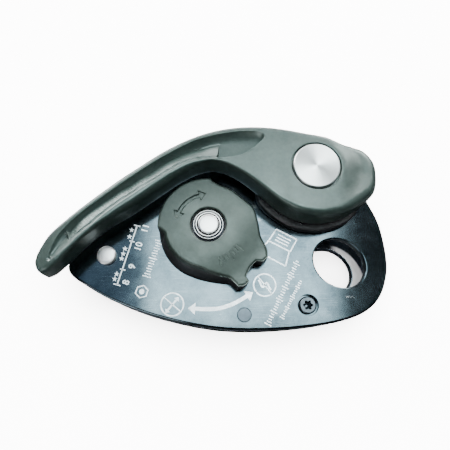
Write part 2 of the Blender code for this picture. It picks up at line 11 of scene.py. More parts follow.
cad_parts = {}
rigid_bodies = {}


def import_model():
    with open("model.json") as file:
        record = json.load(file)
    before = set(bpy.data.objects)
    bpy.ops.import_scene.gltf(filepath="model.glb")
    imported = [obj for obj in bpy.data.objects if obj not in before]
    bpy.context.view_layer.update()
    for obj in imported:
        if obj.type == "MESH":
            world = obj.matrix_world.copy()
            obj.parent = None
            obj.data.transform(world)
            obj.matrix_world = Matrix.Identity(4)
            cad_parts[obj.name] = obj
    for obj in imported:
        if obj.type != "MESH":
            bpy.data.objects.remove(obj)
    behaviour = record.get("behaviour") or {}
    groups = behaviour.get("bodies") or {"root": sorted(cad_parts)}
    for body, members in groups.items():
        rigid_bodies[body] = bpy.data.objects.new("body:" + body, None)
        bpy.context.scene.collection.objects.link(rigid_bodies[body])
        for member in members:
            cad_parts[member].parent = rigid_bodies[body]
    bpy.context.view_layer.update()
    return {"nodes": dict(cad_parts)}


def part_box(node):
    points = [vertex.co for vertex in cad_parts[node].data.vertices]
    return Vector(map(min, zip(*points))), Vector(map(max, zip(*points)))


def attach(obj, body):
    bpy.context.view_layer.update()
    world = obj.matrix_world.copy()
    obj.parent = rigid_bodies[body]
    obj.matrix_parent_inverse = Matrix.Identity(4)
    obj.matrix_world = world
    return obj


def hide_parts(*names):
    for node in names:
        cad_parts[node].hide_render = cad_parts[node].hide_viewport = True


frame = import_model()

# Visual layer of the rope descender. Shapes are worked out in millimetres and written in metres. Most
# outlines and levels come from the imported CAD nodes, so each piece lies where its node lies.

MM = 0.001
# Depths and slopes of the knob's cut signs, height and slope of the groove's ribs
EMBLEM_DEPTH, BAR_DEPTH, CUT_SLOPE = 0.55, 0.6, 0.16
RIB_HEIGHT, RIB_SLOPE = 0.34, 0.14

Z_INNER, Z_FRONT = 16.0, 19.0   # the front plate's two faces
Z_KNOB_TOP, Z_HUB_TOP, Z_DISC_TOP = 28.0, 34.0, 34.4
FRONT = "front_assembly"
CAM_AT = (0.0, 0.0)
HANDLE_AT = (35.1, 18.5)
RIVET_AT = (-33.8, -8.7)
PIN_AT = (12.0, -28.0)
SCREW_AT = (33.1, -24.7)
EYE_AT, EYE_SEMI = (44.6, -10.5), (9.2, 8.0)   # the attachment hole and its half axes
STUD_AT = (30.7, -18.3)
# The knob's fork and its detent lie this way from the cam axle, and the detent this far out
DETENT_REACH = 10.8
DETENT = np.array([cos(radians(-45.0)), sin(radians(-45.0))])


# ---------------------------------------------------------------- plan curves

def signed_area(p):
    x, y = p[:, 0], p[:, 1]
    return 0.5 * float(np.sum(x * np.roll(y, -1) - np.roll(x, -1) * y))


def rings(node, z):
    """Closed outlines of a CAD node at a height, anticlockwise, the longest first."""
    bm = bmesh.new()
    bm.from_mesh(frame["nodes"][node].data)
    bmesh.ops.remove_doubles(bm, verts=bm.verts, dist=2e-6)
    bm.normal_update()
    links = {}
    for edge in bm.edges:
        a, b = edge.verts
        if abs(a.co.z / MM - z) > 0.02 or abs(b.co.z / MM - z) > 0.02:
            continue
        if all(abs(face.normal.z) > 0.999 for face in edge.link_faces):
            continue
        links.setdefault(a, []).append(b)
        links.setdefault(b, []).append(a)
    found = []
    while links:
        here, loop = next(iter(links)), []
        while here is not None:
            near = links.pop(here)
            loop.append((here.co.x / MM, here.co.y / MM))
            here = next((v for v in near if v in links), None)
        found.append(anticlockwise(np.array(loop)))
    bm.free()
    return sorted(found, key=lambda p: -np.abs(np.diff(p, axis=0)).sum())


def smooth(points, steps=4, corner=40.0):
    """A closed curve through the points, with the corners that turn further than an angle kept."""
    p = np.asarray(points, float)
    chord = np.roll(p, -1, 0) - p
    size = norm(chord, axis=1)
    ahead = chord / size[:, None]
    behind, size_behind = np.roll(ahead, 1, 0), np.roll(size, 1)
    tangent = ahead / size[:, None] + behind / size_behind[:, None]
    tangent /= norm(tangent, axis=1)[:, None]
    turn = np.degrees(np.arccos(np.clip((ahead * behind).sum(1), -1, 1)))
    sharp = (turn > corner)[:, None]
    leave, arrive = np.where(sharp, ahead, tangent), np.where(sharp, behind, tangent)
    arrive = np.roll(arrive, -1, 0)
    out = []
    for i in range(steps):
        t = i / steps
        out.append((2 * t**3 - 3 * t**2 + 1) * p + (t**3 - 2 * t**2 + t) * leave * size[:, None]
                   + (3 * t**2 - 2 * t**3) * np.roll(p, -1, 0) + (t**3 - t**2) * arrive * size[:, None])
    return np.stack(out, 1).reshape(-1, 2)


def outward(p):
    """Outward directions of an anticlockwise loop."""
    d = np.roll(p, -1, 0) - np.roll(p, 1, 0)
    d /= np.maximum(norm(d, axis=1), 1e-9)[:, None]
    return np.stack([d[:, 1], -d[:, 0]], 1)


def inset(p, distance):
    return p - outward(p) * (distance if np.isscalar(distance) else np.asarray(distance)[:, None])


def anticlockwise(p):
    return p if signed_area(p) > 0 else p[::-1]


def looped(p):
    """A closed loop as a line that ends where it starts."""
    return np.vstack([p, p[:1]])


def around(count):
    return np.arange(count) * tau / count


def polar(centre, radius, a):
    return np.stack([centre[0] + radius * np.cos(a), centre[1] + radius * np.sin(a)], 1)


def circle(centre, radius, count=96):
    return polar(centre, radius, around(count))


def matched(loop, other):
    """The other loop, started at the point that lies nearest to the loop's start."""
    best = min(range(len(other)), key=lambda k: float(((np.roll(other, -k, 0) - loop) ** 2).sum()))
    return np.roll(other, -best, 0)


def inside(q, loop):
    """Which points lie inside a closed loop."""
    hit = np.zeros(len(q), bool)
    for (x0, y0), (x1, y1) in zip(loop, np.roll(loop, -1, 0)):
        if y0 == y1:
            continue
        crosses = (q[:, 1] < y0) != (q[:, 1] < y1)
        hit ^= crosses & (q[:, 0] < x0 + (q[:, 1] - y0) * (x1 - x0) / (y1 - y0))
    return hit


def gap_to(q, line):
    """Distances from points to an open polyline."""
    line = np.asarray(line, float)
    best = np.full(len(q), 1e9)
    for a, b in zip(line, line[1:]):
        d = b - a
        t = np.clip(((q - a) @ d) / max(float(d @ d), 1e-12), 0, 1)
        best = np.minimum(best, norm(q - a - t[:, None] * d, axis=1))
    return best


def side_of(q, line):
    """Whether a point lies to the left of an open line, looking along it."""
    k = int(np.argmin(norm(line - q, axis=1)))
    k = min(max(k, 1), len(line) - 2)
    d, e = line[k + 1] - line[k - 1], q - line[k]
    return d[0] * e[1] - d[1] * e[0] > 0


def ramp(x):
    """Smooth step from 0 to 1."""
    x = np.clip(x, 0.0, 1.0)
    return x * x * (3 - 2 * x)


def edges(z0, z1, r0, r1, steps=4):
    """How far a wall stands in from its outline and its heights, with its lower and upper edges rounded."""
    out = []
    for i in range(steps + 1 if r0 else 1):
        a = pi / 2 * i / steps if r0 else pi / 2
        out.append((r0 * (1 - sin(a)), z0 + r0 * (1 - cos(a))))
    for i in range(steps + 1 if r1 else 1):
        a = pi / 2 * i / steps if r1 else 0.0
        out.append((r1 * (1 - cos(a)), z1 - r1 * (1 - sin(a))))
    return out


def soften(profile, radius, steps=3, closed=False):
    """A profile with each corner rounded."""
    p = [np.array(q, float) for q in profile]
    out = []
    for i, q in enumerate(p):
        if not closed and i in (0, len(p) - 1):
            out.append(tuple(q))
            continue
        a, b = p[i - 1] - q, p[(i + 1) % len(p)] - q
        la, lb = norm(a), norm(b)
        d = min(radius, 0.45 * la, 0.45 * lb)
        start, end = q + a / la * d, q + b / lb * d
        for k in range(steps + 1):
            t = k / steps
            out.append(tuple((1 - t) ** 2 * start + 2 * t * (1 - t) * q + t * t * end))
    return out


# ---------------------------------------------------------------- solids

class Shape:
    """Vertices and faces in millimetres, added part by part."""

    def __init__(self):
        self.verts, self.faces = [], []

    def loop(self, xy, z):
        first = len(self.verts)
        z = np.broadcast_to(z, len(xy))
        self.verts += [(float(x), float(y), float(h)) for (x, y), h in zip(xy, z)]
        return list(range(first, first + len(xy)))

    def wall(self, loops):
        """Joins loops of (plan, height) into a wall, and returns the first and last rings."""
        ids = [self.loop(xy, z) for xy, z in loops]
        for low, high in zip(ids, ids[1:]):
            self.faces += [(low[i - 1], low[i], high[i], high[i - 1]) for i in range(len(low))]
        return ids[0], ids[-1]

    def cap(self, ring_list):
        corners = [i for ring in ring_list for i in ring]
        flat = [[Vector((self.verts[i][0], self.verts[i][1], 0.0)) for i in ring] for ring in ring_list]
        self.faces += [tuple(corners[i] for i in tri) for tri in tessellate_polygon(flat)]

    def field(self, outer, holes, height, spacing, lines=()):
        """A face that follows a height function, with its mesh lines laid along the given lines."""
        keep = [outer, *holes]
        points, links = [], []
        for closed, group in ((True, keep), (False, lines)):
            for line in group:
                first = len(points)
                points += [tuple(q) for q in line]
                links += [(first + i, first + i + 1) for i in range(len(line) - 1)]
                if closed:
                    links.append((first + len(line) - 1, first))
        low, high = outer.min(0), outer.max(0)
        rows = np.arange(low[1], high[1], spacing * 0.87)
        grid = np.array([(x + (k % 2) * spacing / 2, y) for k, y in enumerate(rows)
                         for x in np.arange(low[0], high[0], spacing)])
        grid = grid[inside(grid, outer)]
        for hole in holes:
            grid = grid[~inside(grid, hole)]
        for line in [looped(loop) for loop in keep] + list(lines):
            grid = grid[gap_to(grid, line) > spacing * 0.45]
        points += [tuple(q) for q in grid]
        found = delaunay_2d_cdt([Vector(q) for q in points], links, [], 0, 1e-5)
        xy = np.array([tuple(v) for v in found[0]])
        tris = np.array([f for f in found[2] if len(f) == 3])
        middle = xy[tris].mean(1)
        good = inside(middle, outer)
        for hole in holes:
            good &= ~inside(middle, hole)
        ids = self.loop(xy, height(xy))
        self.faces += [tuple(ids[i] for i in tri) for tri in tris[good]]

    def lathe(self, centre, profile, count=96, closed=False):
        """A turned solid from (radius, height) points."""
        ids = []
        for radius, z in profile:
            if radius == 0.0:
                self.verts.append((*centre, z))
                ids.append([len(self.verts) - 1] * count)
            else:
                ids.append(self.loop(circle(centre, radius, count), z))
        for low, high in list(zip(ids, ids[1:])) + ([(ids[-1], ids[0])] if closed else []):
            for i in range(count):
                corners = tuple(dict.fromkeys((low[i - 1], low[i], high[i], high[i - 1])))
                if len(corners) > 2:
                    self.faces.append(corners)

    def extrude(self, outline, z0, z1, r0=0.0, r1=0.0, holes=()):
        """A plate with rounded edges. A hole is a list of (plan, height) from the lower face to the upper."""
        first, last = self.wall([(inset(outline, d), z) for d, z in edges(z0, z1, r0, r1)])
        ends = [self.wall(hole) for hole in holes]
        self.cap([first] + [e[0] for e in ends])
        self.cap([last] + [e[1] for e in ends])

    def tube(self, path, radius, sides=12):
        """A round wire along a path."""
        path = np.asarray(path, float)
        along = np.gradient(path, axis=0)
        along /= norm(along, axis=1)[:, None]
        side = np.cross(along, (0.0, 0.0, 1.0))
        side /= norm(side, axis=1)[:, None]
        up = np.cross(side, along)
        ids = []
        for q, s, u in zip(path, side, up):
            first = len(self.verts)
            for k in range(sides):
                a = tau * k / sides
                self.verts.append(tuple(q + radius * (cos(a) * s + sin(a) * u)))
            ids.append(list(range(first, first + sides)))
        for low, high in zip(ids, ids[1:]):
            self.faces += [(low[i - 1], low[i], high[i], high[i - 1]) for i in range(sides)]
        self.faces += [tuple(ids[0]), tuple(ids[-1][::-1])]


def straight(loop, z0, z1, r0=0.0, r1=0.0, steps=4):
    """A hole's loops, its mouths widened by their rounding."""
    return [(inset(loop, -d), z) for d, z in edges(z0, z1, r0, r1, steps)]


def drilled(centre, steps, count=96):
    """A round hole's loops from (radius, height) points."""
    return [(circle(centre, r, count), z) for r, z in steps]


def add(name, data):
    """A new object in the scene."""
    made = bpy.data.objects.new(name, data)
    bpy.context.scene.collection.objects.link(made)
    return made


def place(name, shape, look, body, nodes=()):
    """Makes the shape a piece: smooth, with its flat faces and sharp edges kept, riding on a body."""
    mesh = bpy.data.meshes.new(name)
    mesh.from_pydata([(x * MM, y * MM, z * MM) for x, y, z in shape.verts], [], shape.faces)
    bm = bmesh.new()
    bm.from_mesh(mesh)
    bmesh.ops.remove_doubles(bm, verts=bm.verts, dist=2e-6)
    bmesh.ops.dissolve_degenerate(bm, edges=bm.edges, dist=1e-7)
    bmesh.ops.recalc_face_normals(bm, faces=bm.faces)
    for edge in bm.edges:
        level = [abs(face.normal.z) > 0.99999 for face in edge.link_faces]
        edge.smooth = not (len(level) != 2 or level[0] != level[1] or edge.calc_face_angle(0.0) > 0.55)
    for face in bm.faces:
        face.smooth = True
    bm.to_mesh(mesh)
    bm.free()
    mesh.materials.append(LOOKS[look])
    piece = add(name, mesh)
    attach(piece, body)
    if nodes:
        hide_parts(*nodes)


def turned(name, centre, profile, look, body, node, count=96, closed=False):
    """A lathed piece in place of a node."""
    shape = Shape()
    shape.lathe(centre, profile, count, closed)
    place(name, shape, look, body, [node])


def slab(name, outline, z0, z1, r0, r1, holes, look, body, node):
    """A flat piece in place of a node."""
    shape = Shape()
    shape.extrude(outline, z0, z1, r0, r1, holes)
    place(name, shape, look, body, [node])


def levels(node):
    """A node's lowest and highest levels."""
    return [corner.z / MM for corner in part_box(node)]


def spot(node):
    """A node's centre in plan."""
    low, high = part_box(node)
    return (low.x + high.x) / 2 / MM, (low.y + high.y) / 2 / MM


def wide(node):
    """Half a round node's width."""
    low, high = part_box(node)
    return (high.x - low.x) / 2 / MM


def outer_and_eye(node, z):
    """A side plate's outline and its attachment hole."""
    loops = rings(node, z)
    return smooth(loops[0]), smooth(sorted(loops, key=lambda p: -abs(signed_area(p)))[1])


# ---------------------------------------------------------------- materials

class Look:
    """A material's node tree, with short calls for the nodes that the looks share."""

    def __init__(self, name, colour, metallic=0.0, roughness=0.5, **inputs):
        self.material = bpy.data.materials.new(name)
        self.material.use_nodes = True
        self.tree = self.material.node_tree
        self.shader = self.tree.nodes["Principled BSDF"]
        self.shader.inputs["Base Color"].default_value = (*colour, 1.0)
        self.shader.inputs["Metallic"].default_value = metallic
        self.shader.inputs["Roughness"].default_value = roughness
        for key, value in inputs.items():
            self.shader.inputs[key.replace("_", " ")].default_value = value
        self.place = self.node("TexCoord").outputs["Object"]
        self.height = None

    def node(self, kind, values=None, **props):
        made = self.tree.nodes.new("ShaderNode" + kind)
        for key, value in props.items():
            setattr(made, key, value)
        for key, value in (values or {}).items():
            if isinstance(value, bpy.types.NodeSocket):
                self.tree.links.new(value, made.inputs[key])
            else:
                made.inputs[key].default_value = value
        return made

    def stretched(self, scale, turn=0.0):
        return self.node("Mapping", {"Vector": self.place, "Scale": scale,
                                     "Rotation": (0.0, 0.0, radians(turn))}).outputs["Vector"]

    def noise(self, scale, detail=3.0, rough=0.5, vector=None):
        return self.node("TexNoise", {"Vector": vector or self.place, "Scale": scale, "Detail": detail,
                                      "Roughness": rough}).outputs["Fac"]

    def cloud(self, scale, detail, rough, *span):
        """Noise spread between two levels."""
        return self.spread(self.noise(scale, detail, rough), *span)

    def vector(self, operation, a, b=(0.0, 0.0, 0.0), output="Vector"):
        return self.node("VectorMath", {0: a, 1: b}, operation=operation).outputs[output]

    def spread(self, fac, low, high, to_low=0.0, to_high=1.0):
        return self.node("MapRange", {"Value": fac, "From Min": low, "From Max": high, "To Min": to_low,
                                      "To Max": to_high}).outputs["Result"]

    def maths(self, operation, a, b):
        return self.node("Math", {0: a, 1: b}, operation=operation).outputs[0]

    def times(self, a, b):
        return self.maths("MULTIPLY", a, b)

    def mix(self, fac, a, b):
        """A blend of two colours. The node's colour sockets are its inputs 6 and 7, and its output 2."""
        made = self.node("Mix", {"Factor": fac}, data_type="RGBA")
        for socket, value in ((made.inputs[6], a), (made.inputs[7], b)):
            if isinstance(value, bpy.types.NodeSocket):
                self.tree.links.new(value, socket)
            else:
                socket.default_value = (*value, 1.0)
        return made.outputs[2]

    def colour(self, socket):
        self.tree.links.new(socket, self.shader.inputs["Base Color"])

    def rough(self, socket):
        self.tree.links.new(socket, self.shader.inputs["Roughness"])

    def bump(self, height, distance, strength=1.0):
        values = {"Height": height, "Distance": distance, "Strength": strength}
        if self.height is not None:
            values["Normal"] = self.height
        self.height = self.node("Bump", values).outputs["Normal"]
        self.tree.links.new(self.height, self.shader.inputs["Normal"])

    def edge_wear(self, low=0.52, high=0.6):
        """1 on outer edges, broken up by noise."""
        point = self.node("NewGeometry").outputs["Pointiness"]
        worn = self.spread(point, low, high)
        return self.times(worn, self.cloud(900.0, 4.0, 0.5, 0.4, 0.62))

    def scratches(self, turn, density=0.64):
        """Fine scratches that run one way."""
        lines = self.noise(1.0, 2.0, 0.6, self.stretched((90.0, 5200.0, 90.0), turn))
        patches = self.cloud(130.0, 2.0, 0.5, 0.45, 0.62)
        return self.times(self.spread(lines, density, density + 0.08), patches)


def moulded(name, dark, light, worn, rough, grain, sheen=(1.0, 1.0, 1.0), gloss=0.5):
    """Glass-filled nylon: mottled colour, fine spark-eroded grain, paler worn edges."""
    look = Look(name, light, 0.0, rough, Specular_IOR_Level=gloss, Specular_Tint=(*sheen, 1.0), IOR=1.58)
    cloud = look.cloud(110.0, 5.0, 0.65, 0.3, 0.7)
    fine = look.cloud(800.0, 2.0, 0.5, 0.3, 0.75)
    base = look.mix(cloud, dark, light)
    base = look.mix(look.times(fine, 0.12), base, worn)
    base = look.mix(look.times(look.edge_wear(0.52, 0.56), 0.6), base, worn)
    look.colour(base)
    look.rough(look.cloud(260.0, 2.0, 0.5, 0.3, 0.7, rough - 0.06, rough + 0.06))
    look.bump(look.noise(260.0, 2.0), 0.0003, 0.2)
    look.bump(look.node("TexVoronoi", {"Vector": look.place, "Scale": grain}).outputs["Distance"], 0.00006, 0.08)
    return look.material


def anodised(name, dark, light, rough, waviness, wear_and_highlight=False):
    """Black anodised, tumbled aluminium: cloudy sheen, fine handling scratches, exposed metal at nicked edges, and
    on request a near-white crescent beside the attachment hole that is partly wear and partly painted highlight.
    """
    look = Look(name, light, 1.0, rough)
    cloud = look.cloud(80.0, 5.0, 0.62, 0.34, 0.66)
    fine = look.cloud(1100.0, 3.0, 0.7, 0.32, 0.7)
    base = look.mix(cloud, dark, light)
    base = look.mix(look.times(fine, 0.2), base, tuple(1.25 * c for c in light))
    scuff = look.scratches(31.0)
    for turn, density in ((-14.0, 0.65), (78.0, 0.66), (122.0, 0.66)):
        scuff = look.maths("MAXIMUM", scuff, look.scratches(turn, density))
    base = look.mix(look.times(scuff, 0.2), base, (0.5, 0.53, 0.55))
    nicks = look.times(look.edge_wear(0.56, 0.66), look.cloud(260.0, 2.0, 0.5, 0.6, 0.68))
    base = look.mix(nicks, base, (0.62, 0.63, 0.63))
    dull = look.times(scuff, 0.025)
    if wear_and_highlight:
        # Near-white crescent on the inner face beside the attachment hole: partly metal worn through by a connector,
        # partly painted highlight standing in for the light on that face; narrower at the top, where the front plate
        # shades it
        from_eye = look.vector("SUBTRACT", look.place, (EYE_AT[0] * MM, EYE_AT[1] * MM, 0.0))
        aligned = look.node("VectorRotate", {"Vector": from_eye, "Angle": radians(35.0)},
                            rotation_type="Z_AXIS").outputs["Vector"]
        scaled = look.vector("MULTIPLY", aligned, (1 / (EYE_SEMI[0] * MM), 1 / (EYE_SEMI[1] * MM), 0.0))
        reach = look.vector("LENGTH", scaled, output="Value")
        beyond = look.vector("SUBTRACT", from_eye, (-0.00135, -0.00445, 0.0))
        away = look.vector("LENGTH", look.vector("MULTIPLY", beyond, (1.0, 1.0, 0.0)), output="Value")
        ring = look.times(look.spread(reach, 1.06, 1.1), look.spread(away, 0.0153, 0.0145))
        across = look.node("SeparateXYZ", {0: from_eye}).outputs["X"]
        wear_and_highlight_mask = look.times(ring, look.spread(across, 0.001, 0.004))
        base = look.mix(wear_and_highlight_mask, base, (0.99, 0.985, 0.98))
        dull = look.maths("ADD", dull, look.times(wear_and_highlight_mask, 0.24))
    look.colour(base)
    mottle = look.cloud(140.0, 5.0, 0.7, 0.3, 0.7, rough - 0.025, rough + 0.035)
    look.rough(look.maths("ADD", mottle, dull))
    look.bump(look.noise(70.0, 2.0), 0.0005, waviness)
    return look.material


def turned_metal(name, colour, rough, anisotropy):
    """Lathe-faced steel: concentric tool marks and a sheen that fans round the axis."""
    look = Look(name, colour, 1.0, rough, Anisotropic=anisotropy, Anisotropic_Rotation=0.25)
    spun = look.node("Tangent", direction_type="RADIAL", axis="Z").outputs["Tangent"]
    look.tree.links.new(spun, look.shader.inputs["Tangent"])
    generated = look.node("TexCoord").outputs["Generated"]
    middle = look.vector("SUBTRACT", generated, (0.5, 0.5, 0.0))
    radius = look.vector("LENGTH", look.vector("MULTIPLY", middle, (1.0, 1.0, 0.0)), output="Value")
    marks = look.node("TexNoise", {"W": radius, "Scale": 260.0, "Detail": 3.0, "Roughness": 0.7},
                      noise_dimensions="1D").outputs["Fac"]
    cloud = look.noise(240.0, 4.0, 0.6)
    base = look.mix(look.spread(marks, 0.35, 0.65), tuple(0.88 * c for c in colour), colour)
    base = look.mix(look.times(look.spread(cloud, 0.5, 0.8), 0.12), base,
                    tuple(0.75 * c for c in colour))
    look.colour(base)
    scuff = look.maths("MAXIMUM", look.scratches(17.0, 0.63), look.scratches(-61.0, 0.64))
    look.rough(look.maths("ADD", look.spread(cloud, 0.3, 0.7, rough - 0.02, rough + 0.03),
                          look.times(scuff, 0.05)))
    look.bump(marks, 0.00002, 0.25)
    return look.material


def worked_metal(name, dark, light, rough, grain=(300.0, 300.0, 2600.0)):
    """Stamped, drawn or cast metal with a directional grain and dull patches."""
    look = Look(name, light, 1.0, rough)
    cloud = look.cloud(160.0, 5.0, 0.6, 0.3, 0.7)
    lines = look.noise(1.0, 3.0, 0.6, look.stretched(grain))
    base = look.mix(cloud, dark, light)
    base = look.mix(look.times(look.spread(lines, 0.42, 0.7), 0.35), base, dark)
    base = look.mix(look.times(look.edge_wear(), 0.5), base, tuple(min(1.0, 1.2 * c) for c in light))
    look.colour(base)
    look.rough(look.maths("ADD", look.spread(cloud, 0.0, 1.0, rough - 0.06, rough + 0.06),
                          look.spread(lines, 0.3, 0.7, -0.04, 0.06)))
    look.bump(lines, 0.00003, 0.3)
    return look.material


def plain_plastic(name, dark, light, rough):
    """Turned acetal: slightly waxy, faint tool marks and dust."""
    look = Look(name, light, 0.0, rough)
    look.colour(look.mix(look.cloud(400.0, 4.0, 0.5, 0.35, 0.65), dark, light))
    look.rough(look.cloud(700.0, 3.0, 0.5, 0.3, 0.7, rough - 0.08, rough + 0.08))
    look.bump(look.noise(2400.0, 2.0), 0.00003, 0.3)
    return look.material


def etched(name):
    """Laser-etched marking: exposed bright metal, frosted, a little broken up, thinner where it has worn."""
    look = Look(name, (0.95, 0.97, 0.98), 1.0, 0.4)
    speckle = look.cloud(2600.0, 3.0, 0.7, 0.35, 0.6)
    base = look.mix(speckle, (0.72, 0.77, 0.8), (0.97, 0.98, 0.99))
    look.colour(look.mix(look.cloud(120.0, 3.0, 0.5, 0.55, 0.75, 0.0, 0.3), base, (0.6, 0.66, 0.7)))
    look.rough(look.cloud(900.0, 2.0, 0.5, 0.3, 0.7, 0.34, 0.46))
    look.bump(look.noise(3000.0, 2.0), 0.00002, 0.3)
    return look.material


LOOKS = {
    "plate": anodised("anodised_black", (0.042, 0.062, 0.074), (0.11, 0.145, 0.162), 0.125, 0.03),
    # The rear plate also gets the near-white crescent beside the eye: worn metal and painted highlight
    "rear_plate": anodised("anodised_black_rear", (0.07, 0.09, 0.11), (0.12, 0.145, 0.165), 0.2, 0.035, True),
    "green": moulded("nylon_green", (0.019, 0.032, 0.028), (0.034, 0.05, 0.044), (0.13, 0.18, 0.165), 0.34, 5200.0,
                     (0.82, 1.0, 0.95), 0.9),
    "knob": moulded("nylon_green_knob", (0.012, 0.02, 0.016), (0.021, 0.031, 0.026), (0.09, 0.12, 0.105), 0.38,
                    4600.0, (0.84, 1.0, 0.93), 0.66),
    "black": moulded("nylon_black", (0.012, 0.012, 0.013), (0.02, 0.02, 0.022), (0.07, 0.07, 0.075), 0.42,
                     5200.0),
    "disc": turned_metal("steel_faced", (0.84, 0.87, 0.86), 0.3, 0.85),
    "axle": turned_metal("steel_bright", (0.93, 0.93, 0.92), 0.3, 0.0),
    "rivet": turned_metal("steel_rivet", (0.96, 0.96, 0.95), 0.4, 0.0),
    "stainless": worked_metal("steel_stainless", (0.42, 0.42, 0.415), (0.6, 0.6, 0.59), 0.3),
    "cast": worked_metal("steel_cast_polished", (0.4, 0.4, 0.4), (0.58, 0.58, 0.57), 0.24,
                         (500.0, 500.0, 500.0)),
    "pin": worked_metal("steel_pin", (0.09, 0.115, 0.135), (0.14, 0.17, 0.195), 0.36),
    "screw": worked_metal("steel_screw", (0.1, 0.125, 0.145), (0.15, 0.18, 0.2), 0.34),
    "washer": worked_metal("steel_blued", (0.02, 0.022, 0.026), (0.04, 0.044, 0.05), 0.4),
    "spring": worked_metal("steel_spring", (0.28, 0.28, 0.29), (0.42, 0.42, 0.43), 0.32, (2400.0, 2400.0, 300.0)),
    "bronze": worked_metal("bronze_sintered", (0.38, 0.24, 0.11), (0.55, 0.36, 0.18), 0.4,
                           (1500.0, 1500.0, 1500.0)),
    "alloy": worked_metal("alloy_machined", (0.34, 0.35, 0.37), (0.5, 0.51, 0.53), 0.36, (400.0, 400.0, 5200.0)),
    # Black for the ring in the cam axle's groove: painted shade for the gap round the dome
    "groove_shade": plain_plastic("painted_shade_black", (0.008, 0.008, 0.009), (0.014, 0.014, 0.016), 0.7),
    "acetal": plain_plastic("acetal_natural", (0.6, 0.59, 0.55), (0.75, 0.74, 0.7), 0.45),
    "mark": etched("laser_mark"),
}


# ---------------------------------------------------------------- side plates

def front_plate():
    outline, eye = outer_and_eye("front_plate", 16.5)
    holes = [straight(eye, Z_INNER, Z_FRONT, 0.4, 0.5),
             drilled(CAM_AT, [(5.7, Z_INNER), (5.5, Z_INNER + 0.2), (5.5, Z_FRONT - 0.2), (5.7, Z_FRONT)]),
             drilled(HANDLE_AT, [(4.1, Z_INNER), (4.1, Z_FRONT)]),
             drilled(RIVET_AT, [(2.3, Z_INNER), (2.1, Z_INNER + 0.2), (2.1, Z_FRONT - 0.1), (2.2, Z_FRONT)]),
             drilled(PIN_AT, [(2.5, Z_INNER), (2.35, Z_INNER + 0.15), (2.35, Z_FRONT - 0.05), (2.4, Z_FRONT)]),
             drilled(SCREW_AT, [(2.0, Z_INNER), (2.0, 17.0), (3.45, 17.0), (3.45, Z_FRONT - 0.3),
                                (3.48, Z_FRONT - 0.08), (3.55, Z_FRONT)])]
    flat = rings("front_plate", Z_FRONT)
    for loop in flat[1:]:
        centre = (loop.min(0) + loop.max(0)) / 2
        near = [norm(centre - c) for c in (CAM_AT, HANDLE_AT, RIVET_AT, PIN_AT, SCREW_AT)]
        # The holes above and the attachment hole are made already
        if min(near) < 1.0 or np.ptp(loop[:, 0]) > 14:
            continue
        holes.append(straight(smooth(loop), Z_INNER, Z_FRONT))
    slab("front_plate_body", outline, Z_INNER, Z_FRONT, 0.35, 0.8, holes, "plate", FRONT,
         "front_plate")


def rear_plate():
    outline, eye = outer_and_eye("rear_plate", 0.5)
    holes = [straight(eye, 0.0, 3.0, 0.45, 0.7, 8),
             drilled(CAM_AT, [(5.6, 0.0), (5.4, 0.2), (5.4, 1.6), (3.58, 1.6), (3.58, 2.85), (3.75, 3.0)]),
             drilled(STUD_AT, [(1.5, 0.0), (1.3, 0.2), (1.3, 3.0)])]
    slab("rear_plate_body", outline, 0.0, 3.0, 0.5, 0.35, holes, "rear_plate", "rear_plate", "rear_plate")
    stud = [(0.0, 0.2), (1.2, 0.2), (1.2, 3.1), (1.7, 3.1), (1.7, 6.4), (1.3, 6.8), (0.0, 6.8)]
    turned("stop_stud", STUD_AT, soften(stud, 0.2), "stainless", "rear_plate", "plate_stop_stud")


# ---------------------------------------------------------------- between the plates

def blocks():
    z0, z1 = levels("friction_plate")
    holes = [drilled(RIVET_AT, [(2.1, z0), (2.1, z1)]), drilled(PIN_AT, [(2.35, z0), (2.35, z1)])]
    slab("friction_block", smooth(rings("friction_plate", z0 + 0.4)[0], 4, 32.0), z0, z1, 0.5, 0.5, holes, "cast",
         FRONT, "friction_plate")

    shape = Shape()
    outline = smooth(rings("spacer_block", z0 + 0.4)[0])
    first, last = shape.wall([(inset(outline, d), z) for d, z in edges(z0, z1, 0.5, 0.5)])
    hole = shape.wall(drilled(SCREW_AT, [(2.0, z0 + 3.0), (2.0, z1 - 0.2), (2.2, z1)]))
    shape.cap([first])
    shape.cap([last, hole[1]])
    shape.cap([hole[0]])
    place("spacer", shape, "alloy", FRONT, ["spacer_block"])

    shape = Shape()
    top = Z_FRONT - 0.2
    a = around(96)
    lobes = polar(SCREW_AT, 1.36 + 0.27 * np.cos(6 * a), a)
    body = [(0.0, z0 + 4.0), (1.9, z0 + 4.0), (1.9, Z_FRONT - 1.9), (2.95, Z_FRONT - 1.9), (2.95, top - 0.8)]
    shape.lathe(SCREW_AT, body)
    ring = shape.wall([(circle(SCREW_AT, 2.95), top - 0.8), (circle(SCREW_AT, 2.86), top - 0.45),
                       (circle(SCREW_AT, 2.68), top - 0.15), (circle(SCREW_AT, 2.45), top)])
    drive = shape.wall([(inset(lobes, 0.75), top - 2.9), (inset(lobes, 0.05), top - 2.2), (lobes, top - 0.1),
                        (inset(lobes, -0.08), top)])
    shape.cap([ring[1], drive[1]])
    shape.cap([drive[0]])
    place("six_lobe_screw", shape, "screw", FRONT, ["spacer_screw"])

    dome = [(3.2, 0.5), (3.19, 0.9), (3.12, 1.15), (2.98, 1.33), (2.75, 1.46), (2.3, 1.58), (1.5, 1.69), (0.7, 1.74)]
    shank = [(0.0, z0 + 0.3), (2.0, z0 + 0.3), (2.0, Z_FRONT + 0.1), (3.0, Z_FRONT + 0.1), (3.17, Z_FRONT + 0.3)]
    turned("rivet", RIVET_AT, shank + [(r, Z_FRONT + h) for r, h in dome] + [(0.0, Z_FRONT + 1.75)], "rivet",
           FRONT, "guide_rivet")
    pin = soften([(0.0, z0 + 0.3), (2.25, z0 + 0.3), (2.25, Z_FRONT), (0.0, Z_FRONT)], 0.15)
    turned("flush_pin", PIN_AT, pin, "pin", FRONT, "friction_pin")


